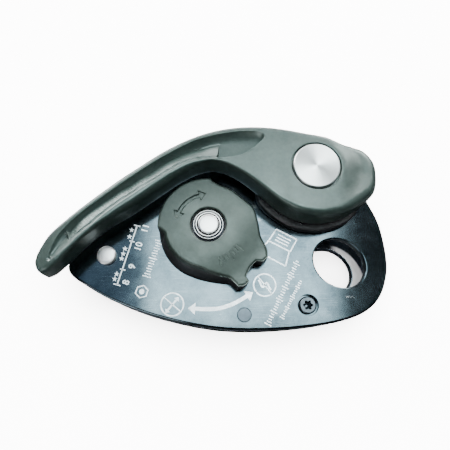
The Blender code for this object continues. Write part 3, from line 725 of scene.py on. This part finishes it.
def cam():
    z0, z1 = levels("cam")
    a = around(192)
    facing = np.maximum(0.0, np.cos(a - radians(212.0)))

    def outline(depth):
        return polar(CAM_AT, 13.5 + 4.5 * facing**6 - depth, a)

    parts = [(0.0, 0.5), (0.01, 0.22), (0.03, 0.05), (0.055, 0.0), (0.12, 0.0)]
    parts += [(p, 1.9 * sin(pi * (p - 0.12) / 0.76) ** 1.05) for p in np.linspace(0.14, 0.86, 15)]
    parts += [(0.88, 0.0), (0.945, 0.0), (0.97, 0.05), (0.99, 0.22), (1.0, 0.5)]
    shape = Shape()
    wall = shape.wall([(outline(d), z0 + (z1 - z0) * p) for p, d in parts])
    pocket_z = z1 - 2.8
    bore = shape.wall(drilled(CAM_AT, [(5.05, z0), (5.05, pocket_z), (9.2, pocket_z), (9.2, z1 - 0.2), (9.4, z1)]))
    shape.cap([wall[0], bore[0]])
    shape.cap([wall[1], bore[1]])
    place("rope_cam", shape, "cast", "cam", ["cam"])

    stamped("drive_plate", "cam_drive_plate", "stainless", "cam", 0.15)


def stamped(name, node, look, body, edge, steps=4):
    """A flat piece with its node's outline and holes."""
    z0, z1 = levels(node)
    loops = rings(node, z1)
    holes = [straight(smooth(p), z0, z1) for p in loops[1:]]
    slab(name, smooth(loops[0], steps), z0, z1, edge, edge, holes, look, body, node)


def ringed(name, node, inner, look, body, edge=0.12):
    """A washer, bush or sleeve with broken edges, sized from its node."""
    (z0, z1), outer = levels(node), wide(node)
    profile = soften([(inner, z0), (outer, z0), (outer, z1), (inner, z1)], edge, 3, True)
    turned(name, spot(node), profile, look, body, node, closed=True)


def coil(name, node, centre, radius, wire, turns, pitch, body):
    """A coil spring that starts at its node's lowest level."""
    t = np.linspace(0.0, turns * tau, int(turns * 64))
    path = np.column_stack([polar(centre, radius, t), levels(node)[0] + wire + pitch * t / tau])
    shape = Shape()
    shape.tube(path, wire)
    place(name, shape, "spring", body, [node])


def inner_parts():
    ringed("rear_washer", "rear_thrust_washer", 3.58, "acetal", FRONT)
    ringed("front_washer", "front_thrust_washer", 5.7, "acetal", FRONT, 0.08)
    ringed("head_thrust_washer", "head_washer", 4.08, "acetal", FRONT)
    ringed("knob_wave_washer", "knob_washer", 3.58, "washer", FRONT)
    ringed("cam_bushing", "cam_bush", 3.58, "bronze", "cam")
    ringed("handle_bushing", "handle_bush", 4.08, "bronze", "handle")
    ringed("selector_tube", "selector_sleeve", 3.58, "stainless", "selector")
    ringed("axle_back_washer", "axle_washer", 4.08, "stainless", FRONT)
    (z0, z1), r = levels("cam_drive_pin"), wide("cam_drive_pin")
    pin = soften([(0.0, z0), (r, z0), (r, z1), (0.0, z1)], 0.15)
    turned("drive_pin", spot("cam_drive_pin"), pin, "spring", "cam", "cam_drive_pin", 48)
    coil("cam_return_spring", "cam_spring", CAM_AT, 7.3, 0.5, 1.6, 1.1, "cam")
    coil("handle_return_spring", "handle_spring", HANDLE_AT, 8.4, 0.6, 2.4, 1.25, "handle")
    coil("detent_coil", "detent_spring", DETENT_REACH * DETENT, 1.1, 0.22, 2.0, 0.65, "selector")
    stamped("clutch_plate_part", "clutch_plate", "stainless", "handle", 0.1, 1)
    stamped("release_cam_part", "release_cam", "stainless", "handle", 0.1)
    stamped("axle_circlip_part", "axle_circlip", "spring", FRONT, 0.1)
    for number in (1, 2, 3):
        node = f"base_screw_{number}"
        z0, z1 = levels(node)
        profile = soften([(0.0, z0 + 0.7), (0.9, z0 + 0.7), (1.0, z0), (2.0, z0), (2.2, z0 + 0.3),
                          (2.2, Z_INNER - 0.1), (1.2, Z_INNER - 0.1), (1.2, z1), (0.0, z1)], 0.1)
        turned(f"base_fixing_{number}", spot(node), profile, "stainless", FRONT, node, 48)
    for node, look in (("detent_ball", "axle"), ("clutch_spring", "spring")):
        frame["nodes"][node].material_slots[0].material = LOOKS[look]


# ---------------------------------------------------------------- axles

def axles():
    top = Z_KNOB_TOP + 0.4
    dome = [(3.26, top - 0.3), (3.26, top - 0.02), (3.2, top + 0.09), (3.06, top + 0.15), (2.6, top + 0.2),
            (1.8, top + 0.24), (0.9, top + 0.265), (0.0, top + 0.27)]
    shank = [(0.0, 0.0), (5.0, 0.0), (5.13, 0.06), (5.2, 0.2), (5.2, 1.3), (3.5, 1.3), (3.5, 26.2), (4.05, 26.2),
             (4.1, 26.3), (4.1, top - 0.5), (4.06, top - 0.38), (3.98, top - 0.33), (3.86, top - 0.33),
             (3.78, top - 0.38), (3.74, top - 0.5), (3.74, top - 1.2), (3.26, top - 1.2)]
    turned("cam_axle_part", CAM_AT, shank + dome, "axle", FRONT, "cam_axle")
    # A black ring fills the groove between the dome and the bead: painted shade for the dark gap round the dome
    ring = soften([(3.2, top - 1.25), (3.78, top - 1.25), (3.78, top - 0.5), (3.2, top - 0.5)], 0.03, 2, True)
    turned("cam_axle_groove_ring", CAM_AT, ring, "groove_shade", FRONT, "cam_axle",
           closed=True)
    collar = soften([(4.66, 26.2), (4.82, 26.2), (4.82, top - 0.6), (4.66, top - 0.6)], 0.05, 3, True)
    turned("cam_axle_collar", CAM_AT, collar, "axle", FRONT, "cam_axle", closed=True)

    top, r, low = Z_DISC_TOP, 4.0, Z_INNER - 3.1
    profile = [(0.0, low), (r - 0.5, low), (r, low + 0.5), (r, 13.9), (r - 0.6, 13.9), (r - 0.6, 14.7), (r, 14.7),
               (r, 32.9), (7.7, 32.9), (7.7, top - 0.65), (7.64, top - 0.35), (7.52, top - 0.1), (7.34, top),
               (5.0, top), (2.5, top), (0.3, top - 0.02), (0.0, top - 0.03)]
    turned("handle_axle_part", HANDLE_AT, profile, "disc", FRONT, "handle_axle", 128)


# ---------------------------------------------------------------- selector knob

def course(points):
    """An open line, with its directions and its left-hand directions."""
    p = np.asarray(points, float)
    d = np.gradient(p, axis=0)
    d /= norm(d, axis=1)[:, None]
    return p, d, np.stack([-d[:, 1], d[:, 0]], 1)


def strip(points, width):
    """A closed outline round an open line."""
    p, _, side = course(points)
    side = side * width / 2
    return np.vstack([p - side, (p + side)[::-1]])


def arrow(points, width, head, reach):
    """A closed outline of a line with an arrow head at each end."""
    p, d, side = course(points)
    right, left = p - side * width / 2, p + side * width / 2
    start = [p[0] + side[0] * head / 2, p[0] - d[0] * reach, p[0] - side[0] * head / 2]
    end = [p[-1] - side[-1] * head / 2, p[-1] + d[-1] * reach, p[-1] + side[-1] * head / 2]
    return np.vstack([start, right, end, left[::-1]])


def selector():
    z0, z_foot, z_rim, z_top = 19.3, 20.1, 27.5, Z_KNOB_TOP
    foot_corners = rings("selector_knob", z0)[0]
    top_corners = matched(foot_corners, rings("selector_knob", z_rim)[0])
    foot, top = smooth(foot_corners, 6, 38.0), smooth(top_corners, 6, 38.0)
    emblem = anticlockwise(arrow(polar(CAM_AT, 10.4, np.radians(np.linspace(108.0, 156.0, 24))), 1.5, 4.2, 2.6))
    bars = []
    for k in range(7):
        angle = radians(6.0 * k - 72.0)
        ends = [(cos(angle) * r, sin(angle) * r) for r in (11.2, 13.0 if k % 3 else 14.2)]
        bars.append(anticlockwise(strip(ends, 0.66)))

    def height(q):
        r = np.hypot(q[:, 0], q[:, 1])
        z = z_top - 0.5 * ramp((r - 7.0) / 13.0) - 1.3 * ramp((q @ DETENT - 6.0) / 15.0)
        for outline, depth in [(emblem, EMBLEM_DEPTH)] + [(b, BAR_DEPTH) for b in bars]:
            gap = gap_to(q, looped(outline))
            z = z - depth * np.where(inside(q, outline), ramp(gap / CUT_SLOPE), 0.0)
        return z

    well_r, split, seam = 5.8, 0.80, 26.0
    between = foot + (top - foot) * split

    # Black skirt under the green cap; its black is partly a black base part and partly painted shade on the lower
    # wall, which faces away from the light
    shape = Shape()
    loops = [(inset(foot, 0.3), z0), (inset(foot, 0.08), z0 + 0.12), (foot, z0 + 0.3), (foot, z_foot)]
    loops += [(foot + (top - foot) * split * t, z_foot + (seam - z_foot) * t) for t in (0.3, 0.6, 0.95)]
    loops.append((inset(between, 0.12), seam))
    wall = shape.wall(loops)
    well = shape.wall(drilled(CAM_AT, [(5.5, z0), (5.5, 25.4), (well_r, 25.4), (well_r, seam)]))
    bore = shape.wall(drilled(DETENT_REACH * DETENT, [(1.6, z0), (1.6, z0 + 5.2)], 32))
    shape.cap([wall[0], well[0], bore[0]])
    shape.cap([bore[1]])
    shape.cap([wall[1], well[1]])
    place("knob_skirt", shape, "black", "selector", ["selector_knob"])

    shape = Shape()
    z_end = height(inset(top, 0.75))
    z_start = np.minimum(z_rim - 0.6, z_end - 0.75)
    loops = [(inset(between, 0.14), seam + 0.02), (between, seam + 0.1)]
    for a in pi / 2 * np.arange(8) / 7:
        loops.append((inset(top, 0.75 * (1 - cos(a))), z_start + (z_end - z_start) * sin(a)))
    wall = shape.wall(loops)
    well = shape.wall(drilled(CAM_AT, [(well_r, seam + 0.02), (well_r, z_top - 0.3), (well_r + 0.05, z_top - 0.12),
                                       (well_r + 0.2, z_top - 0.02), (well_r + 0.4, z_top)]))
    shape.cap([wall[0], well[0]])
    lines = [looped(outline) for outline in [emblem] + bars + [inset(bar, CUT_SLOPE) for bar in bars]]
    shape.field(loops[-1][0], [circle(CAM_AT, well_r + 0.4)], height, 0.42, lines)
    place("knob_cap", shape, "knob", "selector", ["selector_knob"])


# ---------------------------------------------------------------- handle

# Groove in the grip: its outer lip, the bottom where its two sides meet, and its lower edge
LIP = [(-48.1, -12.5), (-48.3, -11.2), (-48.0, -9.9), (-47.5, -8.3), (-46.7, -6.4), (-45.7, -4.7), (-44.2, -2.9),
       (-42.5, -0.9), (-39.8, 1.7), (-37.0, 4.3), (-34.1, 6.7), (-31.1, 9.2), (-28.2, 11.7), (-25.2, 14.2),
       (-22.1, 16.6), (-19.0, 18.8), (-15.9, 20.9), (-12.7, 23.1), (-9.5, 25.0), (-6.3, 26.7), (-3.0, 28.1),
       (0.3, 29.2), (3.6, 30.0), (6.9, 30.6), (10.2, 31.0), (13.6, 31.0), (16.3, 30.7), (17.9, 29.9), (18.6, 29.1)]
VALLEY = [(-44.0, -5.6), (-43.0, -4.1), (-40.3, -0.6), (-37.4, 2.2), (-34.5, 4.6), (-31.5, 7.0), (-28.5, 9.4),
          (-25.4, 11.5), (-22.4, 13.9), (-19.2, 16.0), (-16.1, 18.4), (-12.9, 20.6), (-9.6, 22.4), (-6.4, 24.0),
          (-3.0, 25.1), (0.3, 26.2), (3.6, 26.9), (7.0, 27.4)]
LOWER = [(18.6, 29.1), (18.1, 28.2), (16.2, 26.3), (13.5, 24.1), (10.2, 22.4), (6.2, 21.6), (2.3, 21.5),
         (0.3, 21.6), (-2.9, 21.5), (-6.2, 20.8), (-9.4, 19.4), (-12.6, 17.3), (-15.7, 15.1), (-18.8, 13.0),
         (-21.8, 10.9), (-24.9, 8.6), (-27.9, 6.4), (-30.8, 4.0), (-33.7, 1.5), (-36.5, -1.3), (-39.4, -3.9),
         (-41.6, -6.1), (-43.2, -8.0), (-44.8, -9.5), (-46.4, -11.0), (-48.1, -12.5)]
RIB_LINE = [(-41.6, -4.6), (-39.8, -2.3), (-37.0, 0.3), (-34.1, 3.0), (-31.2, 5.5), (-28.2, 7.9), (-25.2, 10.1),
            (-22.1, 12.4), (-20.4, 13.7)]
# Rounded shoulder round the handle's face: place on the outline, width, drop
SHOULDER = [(-52.9, -14.2, 2.0, 3.2), (-50.5, -17.0, 1.8, 3.0), (-46.6, -14.6, 1.1, 2.6), (-40.5, -7.9, 0.7, 2.4),
            (-33.6, -1.4, 1.0, 2.8), (-25.0, 4.4, 1.9, 4.6), (-15.5, 11.6, 2.1, 5.0), (-8.0, 17.0, 1.6, 4.0),
            (0.5, 20.4, 0.5, 1.2), (8.0, 18.4, 0.8, 1.6), (15.4, 13.0, 1.0, 2.0), (21.3, 7.8, 1.2, 2.2),
            (27.3, 3.7, 2.0, 3.0), (35.0, 1.8, 2.5, 3.4), (43.0, 2.8, 2.9, 3.8), (49.8, 6.4, 3.2, 4.2),
            (54.3, 10.4, 3.3, 4.4), (55.7, 16.0, 3.0, 4.2), (55.0, 21.6, 2.9, 3.8), (51.2, 25.7, 2.6, 3.2),
            (44.6, 27.2, 2.2, 2.8), (39.1, 29.4, 1.6, 2.2), (32.9, 30.5, 1.45, 2.0), (25.6, 31.9, 1.5, 2.1),
            (17.5, 32.9, 1.7, 2.4), (9.3, 33.0, 1.8, 2.5), (1.4, 31.5, 1.8, 2.5), (-14.3, 24.2, 1.8, 2.5),
            (-29.6, 12.9, 1.8, 2.5), (-36.7, 6.9, 1.7, 2.4), (-44.0, 0.3, 1.5, 2.2), (-49.2, -4.7, 1.4, 2.4),
            (-52.1, -9.6, 1.7, 2.8)]


def open_curve(points, steps=4):
    """A smooth open curve through the points."""
    p = np.asarray(points, float)
    first, last = 2 * p[0] - p[1], 2 * p[-1] - p[-2]
    q = np.vstack([first, p, last])
    out = []
    for i in range(1, len(q) - 2):
        for t in np.arange(steps) / steps:
            out.append(0.5 * (2 * q[i] + (q[i + 1] - q[i - 1]) * t
                              + (2 * q[i - 1] - 5 * q[i] + 4 * q[i + 1] - q[i + 2]) * t**2
                              + (3 * q[i] - q[i - 1] - 3 * q[i + 1] + q[i + 2]) * t**3))
    return np.vstack([out, p[-1:]])


def kept_inside(line, loop, gap):
    """The line, with the points that come too near to a closed loop moved in from it."""
    inward = -outward(loop)
    out = []
    for q in line:
        k = int(np.argmin(norm(loop - q, axis=1)))
        depth = float((q - loop[k]) @ inward[k])
        out.append(q + inward[k] * max(0.0, gap - depth))
    return np.array(out)


def handle():
    z0, z_grip, z_hub = 22.7, 33.0, Z_HUB_TOP
    foot = smooth(rings("handle", 28.3)[0], 6)
    samples = np.array(SHOULDER, float)
    weight = 1.0 / (norm(foot[:, None] - samples[None, :, :2], axis=2) ** 3 + 1e-6)
    width, drop = ((weight * samples[:, k]).sum(1) / weight.sum(1) for k in (2, 3))
    for _ in range(8):
        width = (np.roll(width, 1) + width + np.roll(width, -1)) / 3
        drop = (np.roll(drop, 1) + drop + np.roll(drop, -1)) / 3
    face = inset(foot, width)

    lip = kept_inside(open_curve(LIP), face, 0.14)
    lower = kept_inside(open_curve(LOWER), face, 0.3)
    lower[0], lower[-1] = lip[-1], lip[0]
    valley = open_curve(VALLEY)
    groove = anticlockwise(np.vstack([lip, lower[1:-1]]))
    facet_end = np.array([(3.4, 26.6), (2.7, 22.0)])
    across = np.array([facet_end[0][1] - facet_end[1][1], -(facet_end[0][0] - facet_end[1][0])])
    across /= norm(across)
    start = np.array([(-44.2, -3.8), (-42.2, -7.0)])

    ribs = []
    middle = open_curve(RIB_LINE, 40)
    run = np.concatenate([[0.0], np.cumsum(norm(np.diff(middle, axis=0), axis=1))])
    for i, at in enumerate(np.linspace(0.3, run[-1] - 0.3, 30)):
        k = min(int(np.searchsorted(run, at)), len(middle) - 2)
        along = (middle[k + 1] - middle[k]) / norm(middle[k + 1] - middle[k])
        side = np.array([-along[1], along[0]]) * (0.95, 0.7, 0.82, 0.6, 0.9)[i % 5]
        ribs.append(anticlockwise(strip([middle[k] - side, middle[k] + side], 0.5)))

    def height(q):
        x, y = q[:, 0], q[:, 1]
        z = z_grip + (z_hub - z_grip) * ramp((x - 6.0) / 16.0)
        z = z - 2.6 * np.clip((-38.0 - x) / 16.0, 0.0, 1.2) ** 2
        dx, dy = x - HANDLE_AT[0], y - HANDLE_AT[1]
        r, a = np.hypot(dx, dy), np.degrees(np.arctan2(dy, dx))
        z = z - 1.4 * ramp((r - 8.6) / 7.5) * ramp((78.0 - np.abs(a - 14.0)) / 60.0)
        within = inside(q, groove)
        beside = (~within) & (x < 5.0)
        v = gap_to(q[beside], lower)
        z[beside] -= 0.5 * (1.0 - ramp(v / 0.8)) * ramp((5.0 - x[beside]) / 5.0)
        if within.any():
            g = q[within]
            u, v, w = gap_to(g, lip), gap_to(g, lower), gap_to(g, valley)
            steep = 1.2 - 0.15 * ramp((g[:, 0] + 8.0) / 14.0)
            wall, bottom = (steep * (0.3 * d + 1.1 * np.tanh(d / 1.4)) for d in (u, np.maximum(u - w, 0.0)))
            facet = 0.25 + (bottom - 0.25) * (v / (v + w + 1e-6)) + 0.3 * (1.0 - ramp(v / 0.3))
            above = np.array([side_of(p, valley) for p in g])
            ridged = np.where(above, wall, facet)
            scoop = np.minimum(1.5 * (1.0 - np.exp(-u / 0.7)), 0.45 + 0.55 * v)
            tip = ramp(((g - start[0]) @ np.array([0.85, 0.53]) + 0.1) / 0.5)
            hollow = np.minimum(wall, 0.1 + 4.5 * v)
            side = np.where(above, 0.0, ramp(((g - facet_end[1]) @ across + 0.04) / 0.08))
            depth = (scoop * (1 - tip) + ridged * tip) * (1 - side) + hollow * side
            for rib in ribs:
                gap = gap_to(g, looped(rib))
                depth = depth - RIB_HEIGHT * np.where(inside(g, rib), ramp(gap / RIB_SLOPE), 0.0)
            ends = np.minimum(*(norm(g - end, axis=1) for end in (lip[0], lip[-1]))).clip(max=1.0)
            z[within] -= np.maximum(depth, 0.0) * ends
        return z

    z_face = height(face)
    shape = Shape()
    loops = [(inset(foot, 0.8), z0), (inset(foot, 0.42), z0 + 0.1), (inset(foot, 0.15), z0 + 0.32),
             (foot, z0 + 0.8), (foot, z0 + 2.5)]
    steps = 10
    for i in range(steps + 1):
        a = pi / 2 * i / steps
        bead = 0.09 * sin(pi * i / steps) ** 2 if i > steps / 2 else 0.0
        loops.append((inset(foot, width * (1 - cos(a)) ** 1.2), z_face - drop * (1 - sin(a) ** 0.85) + bead))
    wall = shape.wall(loops)

    recess, pocket_z, disc_z = 8.2, 30.1, 32.2
    hub = shape.wall(drilled(HANDLE_AT, [(10.2, z0), (10.2, pocket_z), (5.35, pocket_z), (5.35, disc_z),
                                         (recess, disc_z), (recess, z_hub - 0.28), (recess + 0.06, z_hub - 0.12),
                                         (recess + 0.2, z_hub - 0.02), (recess + 0.35, z_hub)]))
    lines = [looped(groove), valley[4:-12], facet_end + across * 0.05, facet_end - across * 0.05,
             start + (0.2, 0.1), start - (0.2, 0.1)]
    for rib in ribs:
        lines += [looped(rib), looped(inset(rib, RIB_SLOPE))]
    shape.field(face, [circle(HANDLE_AT, recess + 0.35)], height, 0.38, lines)
    shape.cap([wall[0], hub[0]])
    place("handle_body", shape, "green", "handle", ["handle"])


def handle_base():
    z0, z1 = 19.1, 22.4
    loops = rings("handle_base", z1)
    outline = smooth(rings("handle_base", z1 - 0.5)[0])
    holes = [straight(smooth(p, 4, 30.0), z0, z1) for p in loops[1:]]
    slab("base_housing", outline, z0, z1, 0.25, 0.6, holes, "black", FRONT, "handle_base")


# ---------------------------------------------------------------- etched marks

def marks():
    """Etched signs on the front face: a rope scale, two ring signs, a two-way arrow, an open page, bars."""
    z = Z_FRONT + 0.012
    shape = Shape()

    def fill(outline, holes=()):
        ids = [shape.loop(np.asarray(p, float), z) for p in (outline, *holes)]
        shape.cap(ids)

    def line(a, b, width):
        fill(strip([a, b], width))

    def path(points):
        for a, b in zip(points, points[1:]):
            line(a, b, 0.44)

    def tick(q, across, reach, width):
        line(q - across * reach, q + across * reach, width)

    def ticks(start, end, count, across, reach, width):
        """A row of bars in place of a line of text, left out where it would meet the screw."""
        for i in range(count):
            q = start + (end - start) * i / (count - 1)
            if norm(q - SCREW_AT) >= 4.4:
                tick(q, across, reach(i), width)

    top, low = np.array((-24.4, 1.9)), np.array((-29.8, -18.4))
    along = (top - low) / norm(top - low)
    side = np.array((-along[1], along[0]))
    line(low, top, 0.42)
    for q, reach in ((top, 1.2), (np.array((-25.8, -3.6)), 0.9), (np.array((-28.3, -13.3)), 0.9), (low, 1.2)):
        tick(q, side, reach, 0.38)
    star = np.where(np.arange(10) % 2, 0.4, 0.95)
    for q in ((-26.2, 0.4), (-26.75, -2.0), (-28.0, -6.2), (-28.45, -7.9), (-28.9, -9.6), (-30.2, -14.8),
              (-30.7, -16.5)):
        fill(polar(q, star, np.radians(np.arange(10) * 36.0 + 14.0)))

    ticks(np.array((-20.3, -15.6)), np.array((-16.6, -3.4)), 15, side,
          lambda i: 1.45 if i % 7 == 0 else (1.0 if i % 2 else 0.75), 0.34)
    nut, a = (-21.6, -20.6), np.radians(np.arange(6) * 60.0 + 14.0)
    fill(polar(nut, 2.3, a), [polar(nut, 1.85, a)])
    fill(circle(nut, 0.85, 32))

    left, right = np.array((-11.5, -24.7)), np.array((18.9, -18.2))
    for centre, slash in ((left, ((-2.75, 2.3), (2.75, -2.3))), (right, ((-2.2, 2.9), (2.2, -2.9)))):
        fill(circle(centre, 3.9, 64), [circle(centre, 3.9 - 0.44, 64)])
        line(centre + slash[0], centre + slash[1], 0.34)
    fill(arrow([left + (-1.4, -1.9), left + (1.3, 1.5)], 0.6, 1.9, 1.2))
    wave = [right + (x, 0.95 * sin(x * 2.2) - 0.35 * x) for x in np.linspace(-2.1, 2.1, 24)]
    fill(strip(wave, 0.55))

    sweep = open_curve([(-4.0, -26.05), (-0.4, -26.2), (3.2, -26.0), (6.4, -25.2), (9.7, -23.8), (12.9, -21.9)], 5)
    fill(arrow(sweep, 1.25, 3.9, 2.4))

    page = [(23.4, 1.1), (30.4, -2.5), (27.9, -6.8), (20.7, -3.0)]
    path([*page, page[0]])
    path([(20.7, -3.0), (19.1, -4.7), (20.0, -8.5), (26.1, -11.8), (27.5, -7.0)])
    for t in (0.28, 0.5, 0.72):
        a = np.array(page[0]) * (1 - t) + np.array(page[3]) * t
        b = np.array(page[1]) * (1 - t) + np.array(page[2]) * t
        line(a + (b - a) * 0.2, a + (b - a) * 0.8, 0.42)

    rows = ((19.6, -31.0), (30.2, -10.2), 27, 1.25), ((24.3, -28.9), (31.0, -16.9), 19, 0.85)
    for start, end, count, tall in rows:
        start, end = np.array(start), np.array(end)
        along = (end - start) / norm(end - start)
        ticks(start, end, count, np.array((-along[1], along[0])),
              lambda i: tall if i % 5 == 0 else tall * (0.62 if i % 2 else 0.45), 0.38)
    place("etched_signs", shape, "mark", FRONT)

    turn = atan2(20.3, 5.4)
    for text, (x, y) in (("8", (-26.9, -17.6)), ("9", (-25.2, -12.3)), ("10", (-23.5, -5.4)), ("11", (-21.5, 1.0))):
        curve = bpy.data.curves.new("scale_" + text, "FONT")
        curve.body = text
        curve.size = 3.1 * MM
        curve.align_x = curve.align_y = "CENTER"
        curve.offset = 0.00006
        number = add("scale_number_" + text, curve)
        number.location = (x * MM, y * MM, z * MM)
        number.rotation_euler = (0.0, 0.0, turn)
        bpy.context.view_layer.update()
        mesh = bpy.data.meshes.new_from_object(number)
        mesh.transform(number.matrix_world)
        bpy.data.objects.remove(number)
        mesh.materials.clear()
        mesh.materials.append(LOOKS["mark"])
        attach(add("scale_number_" + text, mesh), FRONT)


# ---------------------------------------------------------------- stage

def stage():
    world = bpy.data.worlds.new("studio")
    world.use_nodes = True
    world.node_tree.nodes["Background"].inputs["Color"].default_value = (0.8, 0.88, 1.0, 1.0)
    world.node_tree.nodes["Background"].inputs["Strength"].default_value = 0.04
    bpy.context.scene.world = world

    def paper(name, points, faces, base, shades, rough, grain, glow):
        """A stage piece of slightly uneven paper that may glow."""
        mesh = bpy.data.meshes.new(name)
        mesh.from_pydata(points, [], faces)
        piece = add(name, mesh)
        look = Look(name + "_paper", base, 0.0, rough)
        look.colour(look.mix(look.cloud(grain, 3.0, 0.5, 0.3, 0.7), *shades))
        look.shader.inputs["Emission Color"].default_value = (*glow[0], 1.0)
        look.shader.inputs["Emission Strength"].default_value = glow[1]
        mesh.materials.append(look.material)
        return piece

    floor_radius, wall_radius, floor_z, wall_top = 1.4, 1.39, -0.00012, 4.0

    def floor(name, colour, glow):
        disc = [(floor_radius * cos(t), floor_radius * sin(t), floor_z) for t in around(96)]
        return paper(name, disc, [tuple(range(96))], colour, (tuple(0.97 * c for c in colour), colour), 0.7, 6.0,
                     ((1.0, 0.995, 0.99), glow))

    # The paper that is seen has a strong light of its own; what reaches the object comes from a dimmer floor
    seen = floor("floor", (0.86, 0.855, 0.855), 0.9)
    bounce = floor("floor_bounce", (0.32, 0.31, 0.31), 0.0)
    bounce.visible_camera = False
    bounce.location.z = -0.0001
    # A wall round the stage, so that the views from the side have a pale background too
    wall = [(wall_radius * cos(t), wall_radius * sin(t), z) for z in (-0.0001, wall_top) for t in around(96)]
    backdrop = paper("backdrop", wall, [(i, (i + 1) % 96, 96 + (i + 1) % 96, 96 + i) for i in range(96)],
                     (0.8, 0.8, 0.8), ((0.78, 0.78, 0.78), (0.82, 0.82, 0.82)), 0.8, 3.0, ((0.97, 0.98, 1.0), 5.0))
    backdrop.visible_shadow = False
    for piece in (seen, backdrop):
        piece.visible_diffuse = piece.visible_glossy = piece.visible_transmission = False

    def softbox(name, at, aim, size, power, tint=(1.0, 1.0, 1.0), only=None):
        """A rectangular light. With only, it lights one piece, which a collection of its own holds."""
        data = bpy.data.lights.new(name, "AREA")
        data.shape = "RECTANGLE"
        data.size, data.size_y = size
        data.energy = power
        data.color = tint
        lamp = add(name, data)
        lamp.location = at
        lamp.rotation_euler = (Vector(aim) - Vector(at)).to_track_quat("-Z", "Y").to_euler()
        lamp.visible_camera = False
        if only:
            group = bpy.data.collections.new(only[0])
            group.objects.link(bpy.data.objects[only[1]])
            lamp.light_linking.receiver_collection = group

    softbox("paper_light", (0.05, 0.1, 1.0), (0.0, 0.0, 0.0), (1.3, 1.3), 190.0, (1.0, 0.985, 0.98),
            ("paper", "floor"))
    softbox("overhead", (0.045, 0.110, 0.489), (0.045, 0.110, 0.0), (0.268, 0.23), 1.76, (0.86, 0.98, 1.0))
    softbox("overhead_left", (-0.175, 0.110, 0.489), (-0.175, 0.110, 0.0), (0.17, 0.3), 0.11, (0.55, 0.75, 1.0))
    softbox("key_right", (0.5, 0.72, 0.52), (0.0, 0.0, 0.02), (0.5, 0.5), 10.0)
    softbox("back_left", (-0.6, 0.72, 0.46), (0.0, 0.0, 0.02), (0.6, 0.5), 14.0)
    softbox("fill_right", (0.8, 0.1, 0.6), (0.0, 0.0, 0.01), (0.5, 0.5), 0.25)
    softbox("fill_front", (-0.45, -0.66, 0.45), (0.0, 0.0, 0.01), (0.5, 0.4), 2.6)
    softbox("back", (-0.05, 0.95, 0.4), (0.0, 0.0, 0.02), (0.5, 0.3), 4.8)
    softbox("inner_light", (0.04, -0.02, 0.4), (0.04, -0.02, 0.0), (0.12, 0.12), 0.8,
            only=("inner", "rear_plate_body"))
    softbox("rivet_light", (-0.148, 0.097, 0.489), (-0.148, 0.097, 0.0), (0.26, 0.26), 2.2, only=("shiny", "rivet"))

    data = bpy.data.cameras.new("camera")
    data.lens, data.sensor_width = 34.64, 36.0
    data.clip_start, data.clip_end = 0.01, 20.0
    camera = add("camera", data)
    camera.location = (0.000956, -0.040798, 0.162)
    camera.rotation_euler = (radians(16.8327), radians(-1.8991), 0.0)
    bpy.context.scene.camera = camera


front_plate()
rear_plate()
blocks()
cam()
inner_parts()
axles()
selector()
handle()
handle_base()
marks()
stage()
